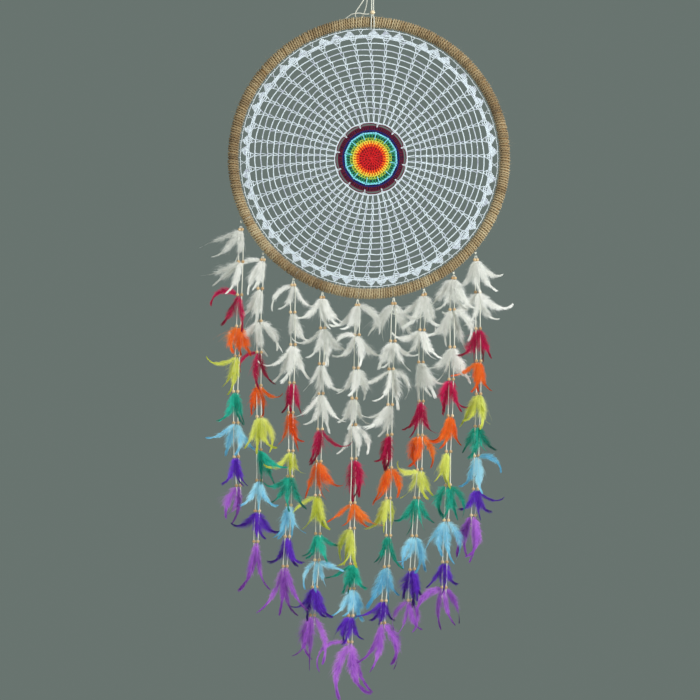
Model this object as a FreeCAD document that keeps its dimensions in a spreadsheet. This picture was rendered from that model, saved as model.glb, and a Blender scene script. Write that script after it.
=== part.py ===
"""Dream catcher: a jute-wrapped hoop with a crocheted web, nine feather strands and a cord to hang it by.

Millimetres. The origin is the point where the nail bears on the hanging loop. +Z is up, the hoop lies in
the XZ plane and its front faces -Y.
"""
import FreeCAD, Part
import math
import os

import Sketcher
from FreeCAD import Placement, Rotation, Vector

doc = FreeCAD.newDocument("dream_catcher")
ACROSS, DEPTH = Vector(1, 0, 0), Vector(0, 1, 0)

# ---------------------------------------------------------------- driving dimensions
SIZES = {
    # hoop
    "hoop_reach": 200.0,  # outer radius over the jute
    "wrap_radius": 8.0,  # half the thickness of the wrapped hoop
    "core_radius": 5.5,  # half the thickness of the cane core
    "hoop_shift": -5.0,  # the hoop's middle lies this far right of the hanging cord
    "hanger_rise": 45.0,  # from the hoop's top up to the nail
    "fit_gap": 0.02,  # between pieces that lie on each other
    # hanging cord
    "hanger_cord": 0.8,  # radius
    "hanger_gap": 1.35,  # each cord's distance from the middle line
    "eye_radius": 2.6,
    "knot_radius": 2.7,
    "hanger_bead": 3.4,
    "hanger_bore": 2.3,
    "bead_height": 39.4,  # from the nail down to the bead's middle
    "sling_play": 0.3,  # the sling turns on the hoop with this gap
    # crocheted web
    "web_thread": 0.6,  # radius of the white thread
    "web_ring": 51.5,  # innermost white round
    "first_round": 63.2,
    "round_pitch": 8.2,
    "round_count": 13.0,
    "column_count": 48.0,
    "column_turn": 4.3,  # degrees clockwise from straight up to the first column
    "column_lean": 5.0,  # degrees that the columns crowd to one side at the rim
    "lean_phase": 35.0,  # degrees, where they crowd
    "post_spread": 1.2,  # half the distance between the two posts of a column
    "web_pull": 2.7,  # the web's middle hangs this far right of the hoop's middle
    "web_sag": 0.9,  # and this far below it
    "edge_inner": 167.0,
    "edge_root": 173.0,
    "edge_tip": 180.6,
    "edge_thickness": 1.4,
    "edge_columns": 3.0,  # columns in one repeat of the edge, which has three points and a cross
    "edge_start": 2.5,  # the column that the first cross is at
    "lacing_radius": 181.3,
    "stay_thread": 0.5,
    "stay_room": 1.5,  # degrees kept clear between a stay and a strand's tie or the sling
    # crocheted mandala, outer radius of each colour
    "red_rim": 17.0,
    "orange_rim": 21.4,
    "yellow_rim": 25.6,
    "lime_rim": 29.5,
    "green_rim": 33.2,
    "sky_rim": 37.4,
    "navy_rim": 40.4,
    "burgundy_valley": 45.6,
    "burgundy_tip": 49.6,
    "petal_count": 12.0,
    "petal_turn": -11.0,  # degrees from straight up to the first white tie
    "rim_gap": 0.1,
    "mandala_thickness": 2.4,
    # strands
    "leg_radius": 0.7,
    "leg_gap": 3.1,  # each leg's distance from the strand's middle
    "strand_reach": 202.3,  # the legs start on this radius, just outside the ties
    "bead_radius": 2.4,
    "bead_bore": 1.2,
    "tail_length": 14.0,
    "tail_share": 0.7,  # how far apart the legs' ends are, as a share of their gap
    # feathers
    "vane_width": 13.0,
    "vane_thickness": 1.6,
    "quill_width": 1.2,
    "lane_inner": 3.4,
    "lane_outer": 5.3,
    "splay_inner": 5.0,  # degrees that the inner feathers lean out of the strand's plane
    "splay_outer": 13.0,
    "swing_room": 1.0,  # clear space kept between the feathers of different strands
    "hoop_room": 4.0,  # and between any feather and the hoop
    "shortest_vane": 12.0,
}

sheet = doc.addObject("Spreadsheet::Sheet", "sizes")
for row, (alias, value) in enumerate(SIZES.items(), start=1):
    sheet.set(f"A{row}", alias)
    sheet.set(f"B{row}", str(value))
    sheet.setAlias(f"B{row}", alias)
doc.recompute()


def size(alias):
    """A driving dimension, read from the sheet."""
    return float(sheet.get(alias))


ARC_SHARE = 0.45  # how much of its shorter run a cord's arc takes
VOLUME_ERROR = 0.01
POINTS_IN_REPEAT = 4  # three points and a cross
HOOP_MIDDLE = Vector(size("hoop_shift"), 0, -(size("hanger_rise") + size("hoop_reach")))
HOOP_X, HOOP_Z = "sizes.hoop_shift", "-(sizes.hanger_rise + sizes.hoop_reach)"
TUBE_MIDDLE = size("hoop_reach") - size("wrap_radius")

# Every strand from its tie downwards, left to right. A level holds the strand's x and its drop below the
# hoop's middle, the feathers' colour and length, and each feather's lean from straight down, + to the right.
STRANDS = [
    [
        (-181, 101, "white", 54, (-80, -35, 2)),
        (-181, 146, "white", 54, (-73, -56, -12)),
        (-183, 193, "crimson", 50, (-72, -40, 8)),
        (-184, 238, "orange", 40, (-24, -5, 12)),
        (-186, 280, "lime", 50, (-80, -22, 1)),
        (-189, 330, "green", 48, (-8, 4, 18)),
        (-188, 374, "sky", 50, (-55, -30, 4, 32)),
        (-188, 422, "violet", 44, (-12, 0, 10)),
        (-184, 463, "purple", 52, (-44, -4, 9)),
    ],
    [
        (-150, 144, "white", 50, (-58, -34, -10)),
        (-154, 184, "white", 48, (-24, -8)),
        (-156, 230, "white", 54, (-44, 0, 34, 54)),
        (-155, 274, "crimson", 48, (-50, -30, 16)),
        (-156, 321, "orange", 42, (-35, -14, 10, 56)),
        (-155, 365, "lime", 52, (-22, -3, 20, 40)),
        (-156, 412, "green", 48, (-6, 14, 32, 56)),
        (-155, 455, "sky", 44, (-28, -8, 28)),
        (-158, 499, "violet", 42, (-52, -14, 8, 40)),
        (-160, 542, "purple", 64, (-5, 17)),
    ],
    [
        (-107, 179, "white", 50, (-40, -14, 30)),
        (-108, 218, "white", 48, (-6, 8)),
        (-107, 264, "white", 56, (-46, -27, -8, 13)),
        (-109, 317, "crimson", 48, (-18, -6, 8)),
        (-111, 359, "orange", 52, (-17, 3, 26)),
        (-110, 414, "lime", 46, (-48, -22, 0, 27)),
        (-112, 449, "green", 44, (-58, -34, -18, 28)),
        (-113, 490, "sky", 46, (-30, -15, 6, 30)),
        (-115, 535, "violet", 46, (-22, 0, 12)),
        (-119, 577, "purple", 72, (-14, -3, 10, 19)),
    ],
    [
        (-66, 197, "white", 50, (-42, -6, 20, 36)),
        (-65, 240, "white", 50, (-56, -10, 10, 40)),
        (-67, 291, "white", 44, (-20, -3, 17)),
        (-68, 333, "white", 56, (-42, -8, 10, 26)),
        (-69, 383, "crimson", 50, (-22, -3, 58)),
        (-71, 428, "orange", 50, (-34, -12, 14, 42)),
        (-73, 476, "lime", 52, (-72, -9, 3, 18)),
        (-72, 531, "green", 42, (-36, -13, 4, 56)),
        (-73, 568, "sky", 42, (-32, -10, 18, 82)),
        (-77, 606, "violet", 44, (-40, -18, 4, 42)),
        (-80, 646, "purple", 66, (-27, -11, 3, 20)),
    ],
    [
        (-16, 207, "white", 48, (-40, -18, 4, 34)),
        (-17, 250, "white", 46, (-62, -24, 3, 38)),
        (-18, 297, "white", 46, (-24, -4, 10)),
        (-21, 339, "white", 40, (-20, -2, 12)),
        (-22, 377, "white", 46, (-15, 4, 28)),
        (-21, 425, "crimson", 58, (-11, -2, 13)),
        (-23, 487, "orange", 46, (-60, -10, 13, 46)),
        (-24, 523, "lime", 52, (-34, -10, 4, 17)),
        (-23, 573, "green", 46, (-54, -22, -4, 8)),
        (-24, 608, "sky", 46, (-42, -18, 6, 40)),
        (-26, 647, "violet", 42, (-52, -24, 3, 18)),
        (-27, 684, "purple", 74, (-58, -10, 14, 40)),
    ],
    [
        (35, 206, "white", 50, (-45, -14, 28, 52)),
        (34, 259, "white", 44, (-26, -8, 18, 52)),
        (31, 298, "white", 52, (-58, -10, 14, 38)),
        (30, 348, "white", 48, (-60, -40, -13)),
        (29, 391, "crimson", 52, (-27, -13, 0)),
        (29, 437, "orange", 46, (-32, -13, 20)),
        (27, 480, "lime", 50, (-38, 1, 19)),
        (28, 533, "green", 46, (-38, -18, -3)),
        (25, 577, "sky", 54, (-40, -8, 3, 20)),
        (21, 625, "violet", 44, (-54, -34, 2, 20)),
        (19, 657, "purple", 68, (-38, -7, 8, 18)),
    ],
    [
        (78, 193, "white", 50, (-50, -22, 3, 26)),
        (75, 243, "white", 44, (-70, -16, 4, 22)),
        (73, 288, "white", 54, (-11, 1, 18, 34)),
        (74, 343, "crimson", 54, (-26, -12, 4)),
        (72, 391, "orange", 50, (-24, -5, 30)),
        (72, 440, "lime", 56, (-105, -32, 4, 31)),
        (67, 480, "green", 48, (-42, -18, 10, 38)),
        (64, 534, "sky", 48, (-25, -7, 12, 30)),
        (61, 581, "violet", 44, (-38, -9, 11, 33)),
        (58, 625, "purple", 44, (-33, -11, 7, 27)),
    ],
    [
        (120, 170, "white", 46, (-36, -16, 4, 18)),
        (117, 214, "white", 58, (-28, -7, 16, 36)),
        (118, 267, "white", 54, (-34, -10, 6, 27)),
        (116, 313, "crimson", 48, (-28, -13, 6, 24)),
        (115, 364, "orange", 46, (-24, -10, 4, 20)),
        (112, 415, "lime", 46, (-22, -7, 10)),
        (112, 462, "green", 48, (-28, -4, 15, 36)),
        (109, 512, "sky", 54, (-46, -15, 6, 44)),
        (107, 571, "violet", 46, (-33, -12, 6, 30)),
        (106, 607, "purple", 58, (-45, -20, 3, 23)),
    ],
    [
        (151, 144, "white", 50, (-16, 5, 22, 54)),
        (154, 189, "white", 54, (-45, -9, 18, 50)),
        (154, 241, "crimson", 44, (-34, -15, 15, 44)),
        (155, 287, "orange", 44, (-56, -9, 5, 18)),
        (155, 333, "lime", 46, (-36, -12, 7, 24)),
        (153, 379, "green", 42, (-42, -14, 22, 44)),
        (152, 421, "sky", 48, (-16, -3, 10, 56)),
        (151, 468, "violet", 44, (-30, 3, 37, 66)),
        (147, 505, "purple", 60, (-34, 1, 13, 24)),
    ],
]

# The hanging cord's loose ends: two drop from the knot behind the hoop, one lies over the hoop's top.
TAIL_ROUTES = [
    [
        (-4, 2, -10),
        (-8.5, 3, -14),
        (-12.6, 5, -21),
        (-19, 7, -30),
        (-24.7, 9, -38),
        (-23.5, 11, -46),
        (-19, 12, -53),
    ],
    [
        (-3, 4, -11),
        (-6.5, 5, -15),
        (-7.8, 6, -22),
        (-9.2, 8, -33),
        (-14.5, 11, -43),
        (-16, 13, -52),
    ],
    [
        (-5, 0, -41.5),
        (-9, 1, -42.2),
        (-18, 3, -39.5),
        (-26.7, 5, -39.8),
        (-34, 9, -42.5),
        (-40, 12, -48),
        (-43, 12, -54),
    ],
]


# ---------------------------------------------------------------- shared shapes
def bind(item, **formulas):
    """Bind properties of a document object to formulas in the sheet's names."""
    for name, formula in formulas.items():
        item.setExpression(name, formula)


def face_front(item):
    """Stand a ring made in the XY plane up in the hoop's plane, around the hoop's middle."""
    item.Placement = Placement(HOOP_MIDDLE, Rotation(ACROSS, 90))
    item.setExpression("Placement.Base.x", HOOP_X)
    item.setExpression("Placement.Base.z", HOOP_Z)


def group(name, shapes, place=Placement()):
    """One node of separate solids."""
    node = doc.addObject("Part::Feature", name)
    node.Label = name
    node.Shape = Part.makeCompound(shapes)
    node.Placement = place
    return node


def flat_ring(radius, thread):
    """A thin ring of round thread in the hoop's plane, around the origin."""
    return Part.makeTorus(radius, thread, Vector(0, 0, 0), DEPTH)


def cord_path(points):
    """Straight runs joined by tangent arcs, each as large as its two runs allow, and the tightest radius."""
    edges, start, radii = [], points[0], []
    for before, corner, after in zip(points, points[1:], points[2:]):
        run_in, run_out = corner - before, after - corner
        turn = run_in.getAngle(run_out)
        reach = ARC_SHARE * min(run_in.Length, run_out.Length)
        bend = reach / math.tan(turn / 2)
        radii.append(bend)
        along_in, along_out = Vector(run_in).normalize(), Vector(run_out).normalize()
        inward = (along_out - along_in).normalize()
        arc_in, arc_out = corner - along_in * reach, corner + along_out * reach
        arc_middle = corner + inward * (bend / math.cos(turn / 2) - bend)
        edges.append(Part.LineSegment(start, arc_in).toShape())
        edges.append(Part.Arc(arc_in, arc_middle, arc_out).toShape())
        start = arc_out
    edges.append(Part.LineSegment(start, points[-1]).toShape())
    return Part.Wire(edges), min(radii)


def cord_tube(name, points, radius):
    """A round cord along its path, and the path."""
    path, bend = cord_path(points)
    profile = Part.Wire(Part.makeCircle(radius, points[0], points[1] - points[0]))
    tube = path.makePipeShell([profile], True, False)
    share = tube.Volume / (math.pi * radius**2 * path.Length)
    if abs(share - 1) > VOLUME_ERROR:
        raise ValueError(f"{name}: its volume is {share:.3f} of its section times its length")
    print(f"{name}: {path.Length:.0f} mm long, tightest bend {bend:.1f} mm")
    return tube, path


# ---------------------------------------------------------------- hoop
def make_hoop():
    core = doc.addObject("Part::Torus", "hoop_ring")
    core.Label = "hoop_ring"
    bind(core, Radius1="sizes.hoop_reach - sizes.wrap_radius", Radius2="sizes.core_radius")
    face_front(core)

    outside = doc.addObject("Part::Torus", "wrap_outside")
    bind(outside, Radius1="sizes.hoop_reach - sizes.wrap_radius", Radius2="sizes.wrap_radius")
    face_front(outside)
    inside = doc.addObject("Part::Torus", "wrap_inside")
    bind(inside, Radius1="sizes.hoop_reach - sizes.wrap_radius", Radius2="sizes.core_radius")
    face_front(inside)
    wrap = doc.addObject("Part::Cut", "jute_wrap")
    wrap.Label = "jute_wrap"
    wrap.Base, wrap.Tool = outside, inside
    return [core, wrap]


def loop_round_hoop(x, thread, play):
    """A loop of cord round the hoop's tube, where the tube passes the given x, on the lower half."""
    radius = size("wrap_radius") + play + thread
    down = math.asin(x / TUBE_MIDDLE)
    middle = Vector(math.sin(down), 0, -math.cos(down)) * TUBE_MIDDLE
    along = Vector(math.cos(down), 0, math.sin(down))
    return Part.makeTorus(radius, thread, middle, along)


def tie_across(levels):
    """How far across the hoop's middle a strand's tie meets the tube's middle line."""
    return levels[0][0] * TUBE_MIDDLE / size("strand_reach")


def make_strand_ties():
    """Two turns of each strand's cord round the hoop."""
    thread = size("leg_radius")
    apart = thread + size("fit_gap")
    loops = []
    for levels in STRANDS:
        for side in (-apart, apart):
            loops.append(loop_round_hoop(tie_across(levels) + side, thread, size("fit_gap")))
    return [group("strand_ties", loops, Placement(HOOP_MIDDLE, Rotation()))]


# ---------------------------------------------------------------- web
def polar(radius, turn, depth=0.0):
    """A point in the hoop's plane, turned clockwise from straight up as seen from the front."""
    angle = math.radians(turn)
    return Vector(radius * math.sin(angle), depth, radius * math.cos(angle))


def web_pull(radius):
    """How far a round of the web is off the hoop's middle: nothing at the edge, most in the mandala."""
    span = size("edge_inner") - size("web_ring")
    share = min(1.0, (size("edge_inner") - radius) / span)
    return Vector(size("web_pull"), 0, -size("web_sag")) * share


def column_angle(column, rim_share=1.0):
    """Where a column of the web stands: at 0 on the innermost round, at 1 on the rim."""
    even = 360 * column / size("column_count")
    crowd = size("column_lean") * math.cos(math.radians(even + size("lean_phase")))
    return even + size("column_turn") - rim_share * crowd


def rod(thread, start, end):
    """A straight piece of thread."""
    return Part.makeCylinder(thread, (end - start).Length, start, end - start)


def make_rounds():
    thread = size("web_thread")
    radii = [size("web_ring")]
    for index in range(int(size("round_count"))):
        radii.append(size("first_round") + index * size("round_pitch"))
    return [flat_ring(radius, thread).translated(web_pull(radius)) for radius in radii]


def make_posts():
    """Pairs of posts behind the rounds, and the ties from the innermost round to the mandala's valleys."""
    thread, ring, gap = size("web_thread"), size("web_ring"), size("fit_gap")
    layer = 2 * thread + gap
    posts = []
    for column in range(int(size("column_count"))):
        start = polar(ring, column_angle(column, 0), layer) + web_pull(ring)
        end = polar(size("edge_inner") - size("rim_gap"), column_angle(column), layer)
        across = (end - start).cross(DEPTH).normalize() * size("post_spread")
        posts += [rod(thread, start + across, end + across), rod(thread, start - across, end - across)]
    petals = int(size("petal_count"))
    for petal in range(petals):
        turn = 360 * petal / petals - size("petal_turn")
        valley = size("burgundy_valley") + size("rim_gap") + thread
        pull = web_pull(ring)
        posts.append(rod(thread, polar(valley, turn, layer) + pull, polar(ring, turn, layer) + pull))
    return posts


def edge_angle(point):
    """The edge's points and crosses, evenly spread over the columns. Each fourth is a cross."""
    return column_angle(size("edge_start") + point * size("edge_columns") / POINTS_IN_REPEAT)


def edge_points():
    """The numbers of the edge's points and crosses."""
    return range(int(POINTS_IN_REPEAT * size("column_count") / size("edge_columns")))


def make_edge():
    """The dense shells along the rim, as one plate with a point for each shell."""
    corners = []
    for point in edge_points():
        reach = size("edge_tip") if point % POINTS_IN_REPEAT else size("edge_root")
        corners.append(polar(reach, edge_angle(point)))
        corners.append(polar(size("edge_root"), edge_angle(point + 0.5)))
    thickness = size("edge_thickness")
    outline = Part.Face(Part.makePolygon(corners + corners[:1]))
    hole = Part.Face(Part.Wire(Part.makeCircle(size("edge_inner"), Vector(0, 0, 0), DEPTH)))
    plate = outline.cut(hole).extrude(DEPTH * thickness)
    plate.translate(DEPTH * (-thickness / 2))
    return plate.Solids


def make_lacing():
    """The thread along the hoop's inside, its stays to the jute and the crosses from the shells to it."""
    thread, gap, radius = size("web_thread"), size("fit_gap"), size("lacing_radius")
    pieces = [flat_ring(radius, thread)]
    taken = [180 - math.degrees(math.asin(tie_across(levels) / TUBE_MIDDLE)) for levels in STRANDS]
    taken.append(math.degrees(math.asin(-HOOP_MIDDLE.x / TUBE_MIDDLE)))
    jute_inside = size("hoop_reach") - 2 * size("wrap_radius")
    for point in edge_points():
        turn = edge_angle(point)
        if all(abs((turn - other + 180) % 360 - 180) > size("stay_room") for other in taken):
            start, end = polar(radius + thread + gap, turn), polar(jute_inside - gap, turn)
            pieces.append(rod(size("stay_thread"), start, end))
        if point % POINTS_IN_REPEAT == 0:
            low = size("edge_root") + thread
            left, right = edge_angle(point - 0.3), edge_angle(point + 0.3)
            pieces.append(rod(size("stay_thread"), polar(low, left), polar(radius, right)))
            pieces.append(rod(size("stay_thread"), polar(low, right), polar(radius, left)))
    return pieces


def make_web():
    place = Placement(HOOP_MIDDLE, Rotation())
    return [
        group("web_rounds", make_rounds(), place),
        group("web_posts", make_posts(), place),
        group("web_edge", make_edge(), place),
        group("web_lacing", make_lacing(), place),
    ]


# ---------------------------------------------------------------- mandala
def mandala_body(name):
    body = doc.addObject("PartDesign::Body", name)
    body.Label = name
    body.Placement = Placement(HOOP_MIDDLE, Rotation())
    body.setExpression("Placement.Base.x", HOOP_X + " + sizes.web_pull")
    body.setExpression("Placement.Base.z", HOOP_Z + " - sizes.web_sag")
    plane = next(f for f in body.Origin.OriginFeatures if f.Role == "XZ_Plane")
    sketch = body.newObject("Sketcher::SketchObject", name + "_outline")
    sketch.AttachmentSupport = [(plane, "")]
    sketch.MapMode = "FlatFace"
    return body, sketch


def add_circle(sketch, label, formula, start):
    circle = sketch.addGeometry(Part.Circle(Vector(0, 0, 0), Vector(0, 0, 1), start), False)
    sketch.addConstraint(Sketcher.Constraint("Coincident", circle, 3, -1, 1))
    radius = sketch.addConstraint(Sketcher.Constraint("Radius", circle, start))
    sketch.renameConstraint(radius, label)
    sketch.setExpression("Constraints." + label, formula)


def pad_outline(body, sketch):
    pad = body.newObject("PartDesign::Pad", body.Name + "_pad")
    pad.Profile = sketch
    pad.setExpression("Length", "sizes.mandala_thickness")
    pad.Midplane = True
    sketch.Visibility = False
    return body


def make_mandala():
    nodes = []
    inner = None
    for colour in ("red", "orange", "yellow", "lime", "green", "sky", "navy"):
        body, sketch = mandala_body("mandala_" + colour)
        add_circle(sketch, "rim", f"sizes.{colour}_rim", size(colour + "_rim"))
        if inner:
            add_circle(sketch, "bore", f"sizes.{inner} + sizes.rim_gap", size(inner) + size("rim_gap"))
        nodes.append(pad_outline(body, sketch))
        inner = colour + "_rim"

    body, sketch = mandala_body("mandala_burgundy")
    petals = int(size("petal_count"))
    for index in range(petals):
        turns = [size("petal_turn") + 360 * (index + part) / petals for part in (0, 0.5, 1)]
        reaches = [size("burgundy_valley"), size("burgundy_tip"), size("burgundy_valley")]
        corners = []
        for turn, reach in zip(turns, reaches):
            angle = math.radians(turn)
            corners.append(Vector(-math.sin(angle), math.cos(angle), 0) * reach)
        sketch.addGeometry(Part.Arc(*corners), False)
    add_circle(sketch, "bore", f"sizes.{inner} + sizes.rim_gap", size(inner) + size("rim_gap"))
    nodes.append(pad_outline(body, sketch))
    return nodes


# ---------------------------------------------------------------- hanging cord
def make_hanger():
    thread, gap = size("hanger_cord"), size("hanger_gap")
    eye_middle = thread - size("eye_radius")
    eye = doc.addObject("Part::Torus", "hanger_loop")
    eye.Label = "hanger_loop"
    bind(eye, Radius1="sizes.eye_radius", Radius2="sizes.hanger_cord")
    eye.Placement = Placement(Vector(0, 0, eye_middle), Rotation(ACROSS, 90))

    knot_middle = eye_middle - size("eye_radius") - thread - size("knot_radius")
    knot = doc.addObject("Part::Sphere", "hanger_knot")
    knot.Label = "hanger_knot"
    bind(knot, Radius="sizes.knot_radius")
    knot.Placement = Placement(Vector(0, 0, knot_middle), Rotation())

    ball = doc.addObject("Part::Sphere", "bead_ball")
    bind(ball, Radius="sizes.hanger_bead")
    bore = doc.addObject("Part::Cylinder", "bead_bore_tool")
    bind(bore, Radius="sizes.hanger_bore", Height="4 * sizes.hanger_bead")
    bore.Placement = Placement(Vector(0, 0, -2 * size("hanger_bead")), Rotation())
    bead = doc.addObject("Part::Cut", "hanger_bead")
    bead.Label = "hanger_bead"
    bead.Base, bead.Tool = ball, bore
    bead.Placement = Placement(Vector(0, 0, -size("bead_height")), Rotation())

    cord_top = knot_middle - size("knot_radius") - size("sling_play")
    sling_radius = size("wrap_radius") + size("sling_play") + thread
    tube_top = HOOP_MIDDLE.z + TUBE_MIDDLE
    cord_bottom = tube_top + sling_radius + thread + size("rim_gap")
    cords, slings = [], []
    for side in (-gap, gap):
        top = Vector(side, 0, cord_top)
        cords.append(Part.makeCylinder(thread, cord_top - cord_bottom, top, Vector(0, 0, -1)))
        slings.append(Part.makeTorus(sling_radius, thread, Vector(side, 0, tube_top), ACROSS))

    tails = []
    for number, route in enumerate(TAIL_ROUTES, start=1):
        tail, path = cord_tube(f"hanger tail {number}", [Vector(*point) for point in route], thread)
        tails.append(tail)
    groups = {"hanger_cords": cords, "hanger_sling": slings, "hanger_tails": tails}
    return [eye, knot, bead] + [group(name, shapes) for name, shapes in groups.items()]


# ---------------------------------------------------------------- feathers
VANE_SHAPE = ((0.25, 0.75), (0.55, 1.0), (0.85, 0.7), (1.0, 0.2))  # shares of the length and the half-width
LEAST_DROP = 0.3  # the least share of a feather's length that counts as going down
INNER_FEATHERS = 2  # each level's first two feathers lie in the inner lanes


class Feather:
    """A flat vane that hangs from a bead, in its place in the hoop's plane and its lane across it."""

    def __init__(self, strand, level, index, next_drop):
        x, drop, colour, length, leans = level
        self.strand, self.colour = strand, colour
        self.lean = math.radians(leans[index])
        self.root = (x, -drop - 0.5 * size("bead_radius"))
        room = next_drop - drop - 2 * size("swing_room") if next_drop else length
        self.length = min(length, room / max(math.cos(self.lean), LEAST_DROP))
        self.side = 1 if (index + strand + round(drop)) % 2 else -1
        self.outer = index >= INNER_FEATHERS

    def half_outline(self, margin=0.0):
        """Half the vane's outline: distance along it and half-width there."""
        half = size("vane_width") / 2
        steps = [(0, size("quill_width") / 2 + margin)]
        return steps + [(along * self.length, share * half + margin) for along, share in VANE_SHAPE]

    def local_outline(self, margin=0.0):
        """The vane's corners as pairs of across and along."""
        steps = self.half_outline(margin)
        corners = [(-width, along) for along, width in steps]
        return corners + [(width, along) for along, width in reversed(steps)]

    def outline(self, margin=0.0):
        """The vane's corners in the hoop's plane, as pairs of x and z from the hoop's middle."""
        sine, cosine = math.sin(self.lean), math.cos(self.lean)
        corners = []
        for across, along in self.local_outline(margin):
            x = self.root[0] + across * cosine + along * sine
            corners.append((x, self.root[1] + across * sine - along * cosine))
        return corners

    def solid(self):
        corners = [Vector(across, 0, -along) for across, along in self.local_outline()]
        thickness = size("vane_thickness")
        vane = Part.Face(Part.makePolygon(corners + corners[:1])).extrude(DEPTH * thickness)
        vane.translate(DEPTH * (-thickness / 2))
        lane = size("lane_outer") if self.outer else size("lane_inner")
        splay = size("splay_outer") if self.outer else size("splay_inner")
        turn = Rotation(DEPTH, -math.degrees(self.lean)).multiply(Rotation(ACROSS, self.side * splay))
        middle = Vector(self.root[0], self.side * lane, self.root[1])
        vane.Placement = Placement(middle, turn).multiply(vane.Placement)
        return vane


def overlap(first, second):
    """Whether two convex outlines overlap, by a separating axis."""
    for outline in (first, second):
        for (x1, z1), (x2, z2) in zip(outline, outline[1:] + outline[:1]):
            normal = (z2 - z1, x1 - x2)
            spans = []
            for shape in (first, second):
                marks = [x * normal[0] + z * normal[1] for x, z in shape]
                spans.append((min(marks), max(marks)))
            if spans[0][1] <= spans[1][0] or spans[1][1] <= spans[0][0]:
                return False
    return True


def leg_outlines(levels):
    """The strips that a strand's two legs hang in."""
    half = size("leg_gap") + size("leg_radius") + size("swing_room")
    strips = []
    for (x1, drop1, *_), (x2, drop2, *_) in zip(levels, levels[1:]):
        strips.append([(x1 - half, -drop1), (x1 + half, -drop1), (x2 + half, -drop2), (x2 - half, -drop2)])
    return strips


def near_hoop(feather):
    """Whether the feather's lower part comes too near the hoop."""
    reach = size("hoop_reach") + size("hoop_room")
    return any(math.hypot(x, z) < reach for x, z in feather.outline()[2:-2])


def in_other_legs(feather):
    """Whether the feather reaches into the legs of a strand beside its own."""
    for strand in (feather.strand - 1, feather.strand + 1):
        if 0 <= strand < len(STRANDS):
            if any(overlap(feather.outline(), strip) for strip in leg_outlines(STRANDS[strand])):
                return True
    return False


def make_feathers():
    """All feathers, each shortened until no strand's feathers reach into another strand or the hoop."""
    feathers = []
    for strand, levels in enumerate(STRANDS):
        drops = [level[1] for level in levels[1:]] + [None]
        for level, next_drop in zip(levels, drops):
            feathers += [Feather(strand, level, index, next_drop) for index in range(len(level[4]))]
    step, room = 1.0, size("swing_room") / 2
    for feather in feathers:
        while near_hoop(feather) and feather.length > size("shortest_vane"):
            feather.length -= step
        while in_other_legs(feather):
            feather.length -= step
    for first in feathers:
        for second in feathers:
            if second.strand != first.strand + 1:
                continue
            while overlap(first.outline(room), second.outline(room)):
                longer = first if first.length > second.length else second
                longer.length -= step
    return feathers


# ---------------------------------------------------------------- strands
def leg_route(levels, side):
    """The points that one leg of a strand runs through, from its tie down to its loose end."""
    first_x, last_x, last_drop = levels[0][0], levels[-1][0], levels[-1][1]
    tie_drop = math.sqrt(size("strand_reach") ** 2 - (abs(first_x) - size("leg_gap")) ** 2)
    route = [Vector(first_x + side, 0, -tie_drop)]
    route += [Vector(x + side, 0, -drop) for x, drop, *_ in levels[1:]]
    route.append(Vector(last_x + side * size("tail_share"), 0, -(last_drop + size("tail_length"))))
    return route


def make_bead():
    ball = Part.makeSphere(size("bead_radius"))
    height = 4 * size("bead_radius")
    return ball.cut(Part.makeCylinder(size("bead_bore"), height, Vector(0, 0, -height / 2)))


def make_strands():
    nodes = []
    feathers = make_feathers()
    place = Placement(HOOP_MIDDLE, Rotation())
    bead = make_bead()
    for strand, levels in enumerate(STRANDS):
        name = f"strand_{strand + 1}"
        legs, beads = [], []
        for side in (-size("leg_gap"), size("leg_gap")):
            leg, path = cord_tube(f"{name}, one leg", leg_route(levels, side), size("leg_radius"))
            legs.append(leg)
            for x, drop, *_ in levels:
                on_cord = path.distToShape(Part.Vertex(x + side, 0, -drop))[1][0][0]
                beads.append(bead.translated(on_cord))
        own = [feather for feather in feathers if feather.strand == strand]
        white = [feather.solid() for feather in own if feather.colour == "white"]
        dyed = [feather.solid() for feather in own if feather.colour != "white"]
        parts = {"cords": legs, "beads": beads, "feathers_white": white, "feathers_dyed": dyed}
        nodes += [group(f"{name}_{part}", shapes, place) for part, shapes in parts.items()]
    return nodes


nodes = make_hanger() + make_hoop() + make_strand_ties()
nodes += make_web() + make_mandala() + make_strands()
doc.recompute()

for item in doc.Objects:
    if "Invalid" in item.State or "Error" in item.State:
        raise RuntimeError(f"{item.Name} failed: {item.State}")
for node in nodes:
    if node.Shape.isNull() or not node.Shape.isValid():
        raise RuntimeError(f"{node.Label} has no valid shape")

os.makedirs("parts", exist_ok=True)
for node in nodes:
    node.Shape.exportStep(f"parts/{node.Label}.step")
print(len(nodes), "nodes")
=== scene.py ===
"""Looks of the dream catcher: jute twine, crochet, cords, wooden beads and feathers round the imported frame.

Metres. The origin is the point where the nail bears on the hanging loop. +Z is up, the hoop lies in the XZ
plane and its front faces -Y.
"""

import math

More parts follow.
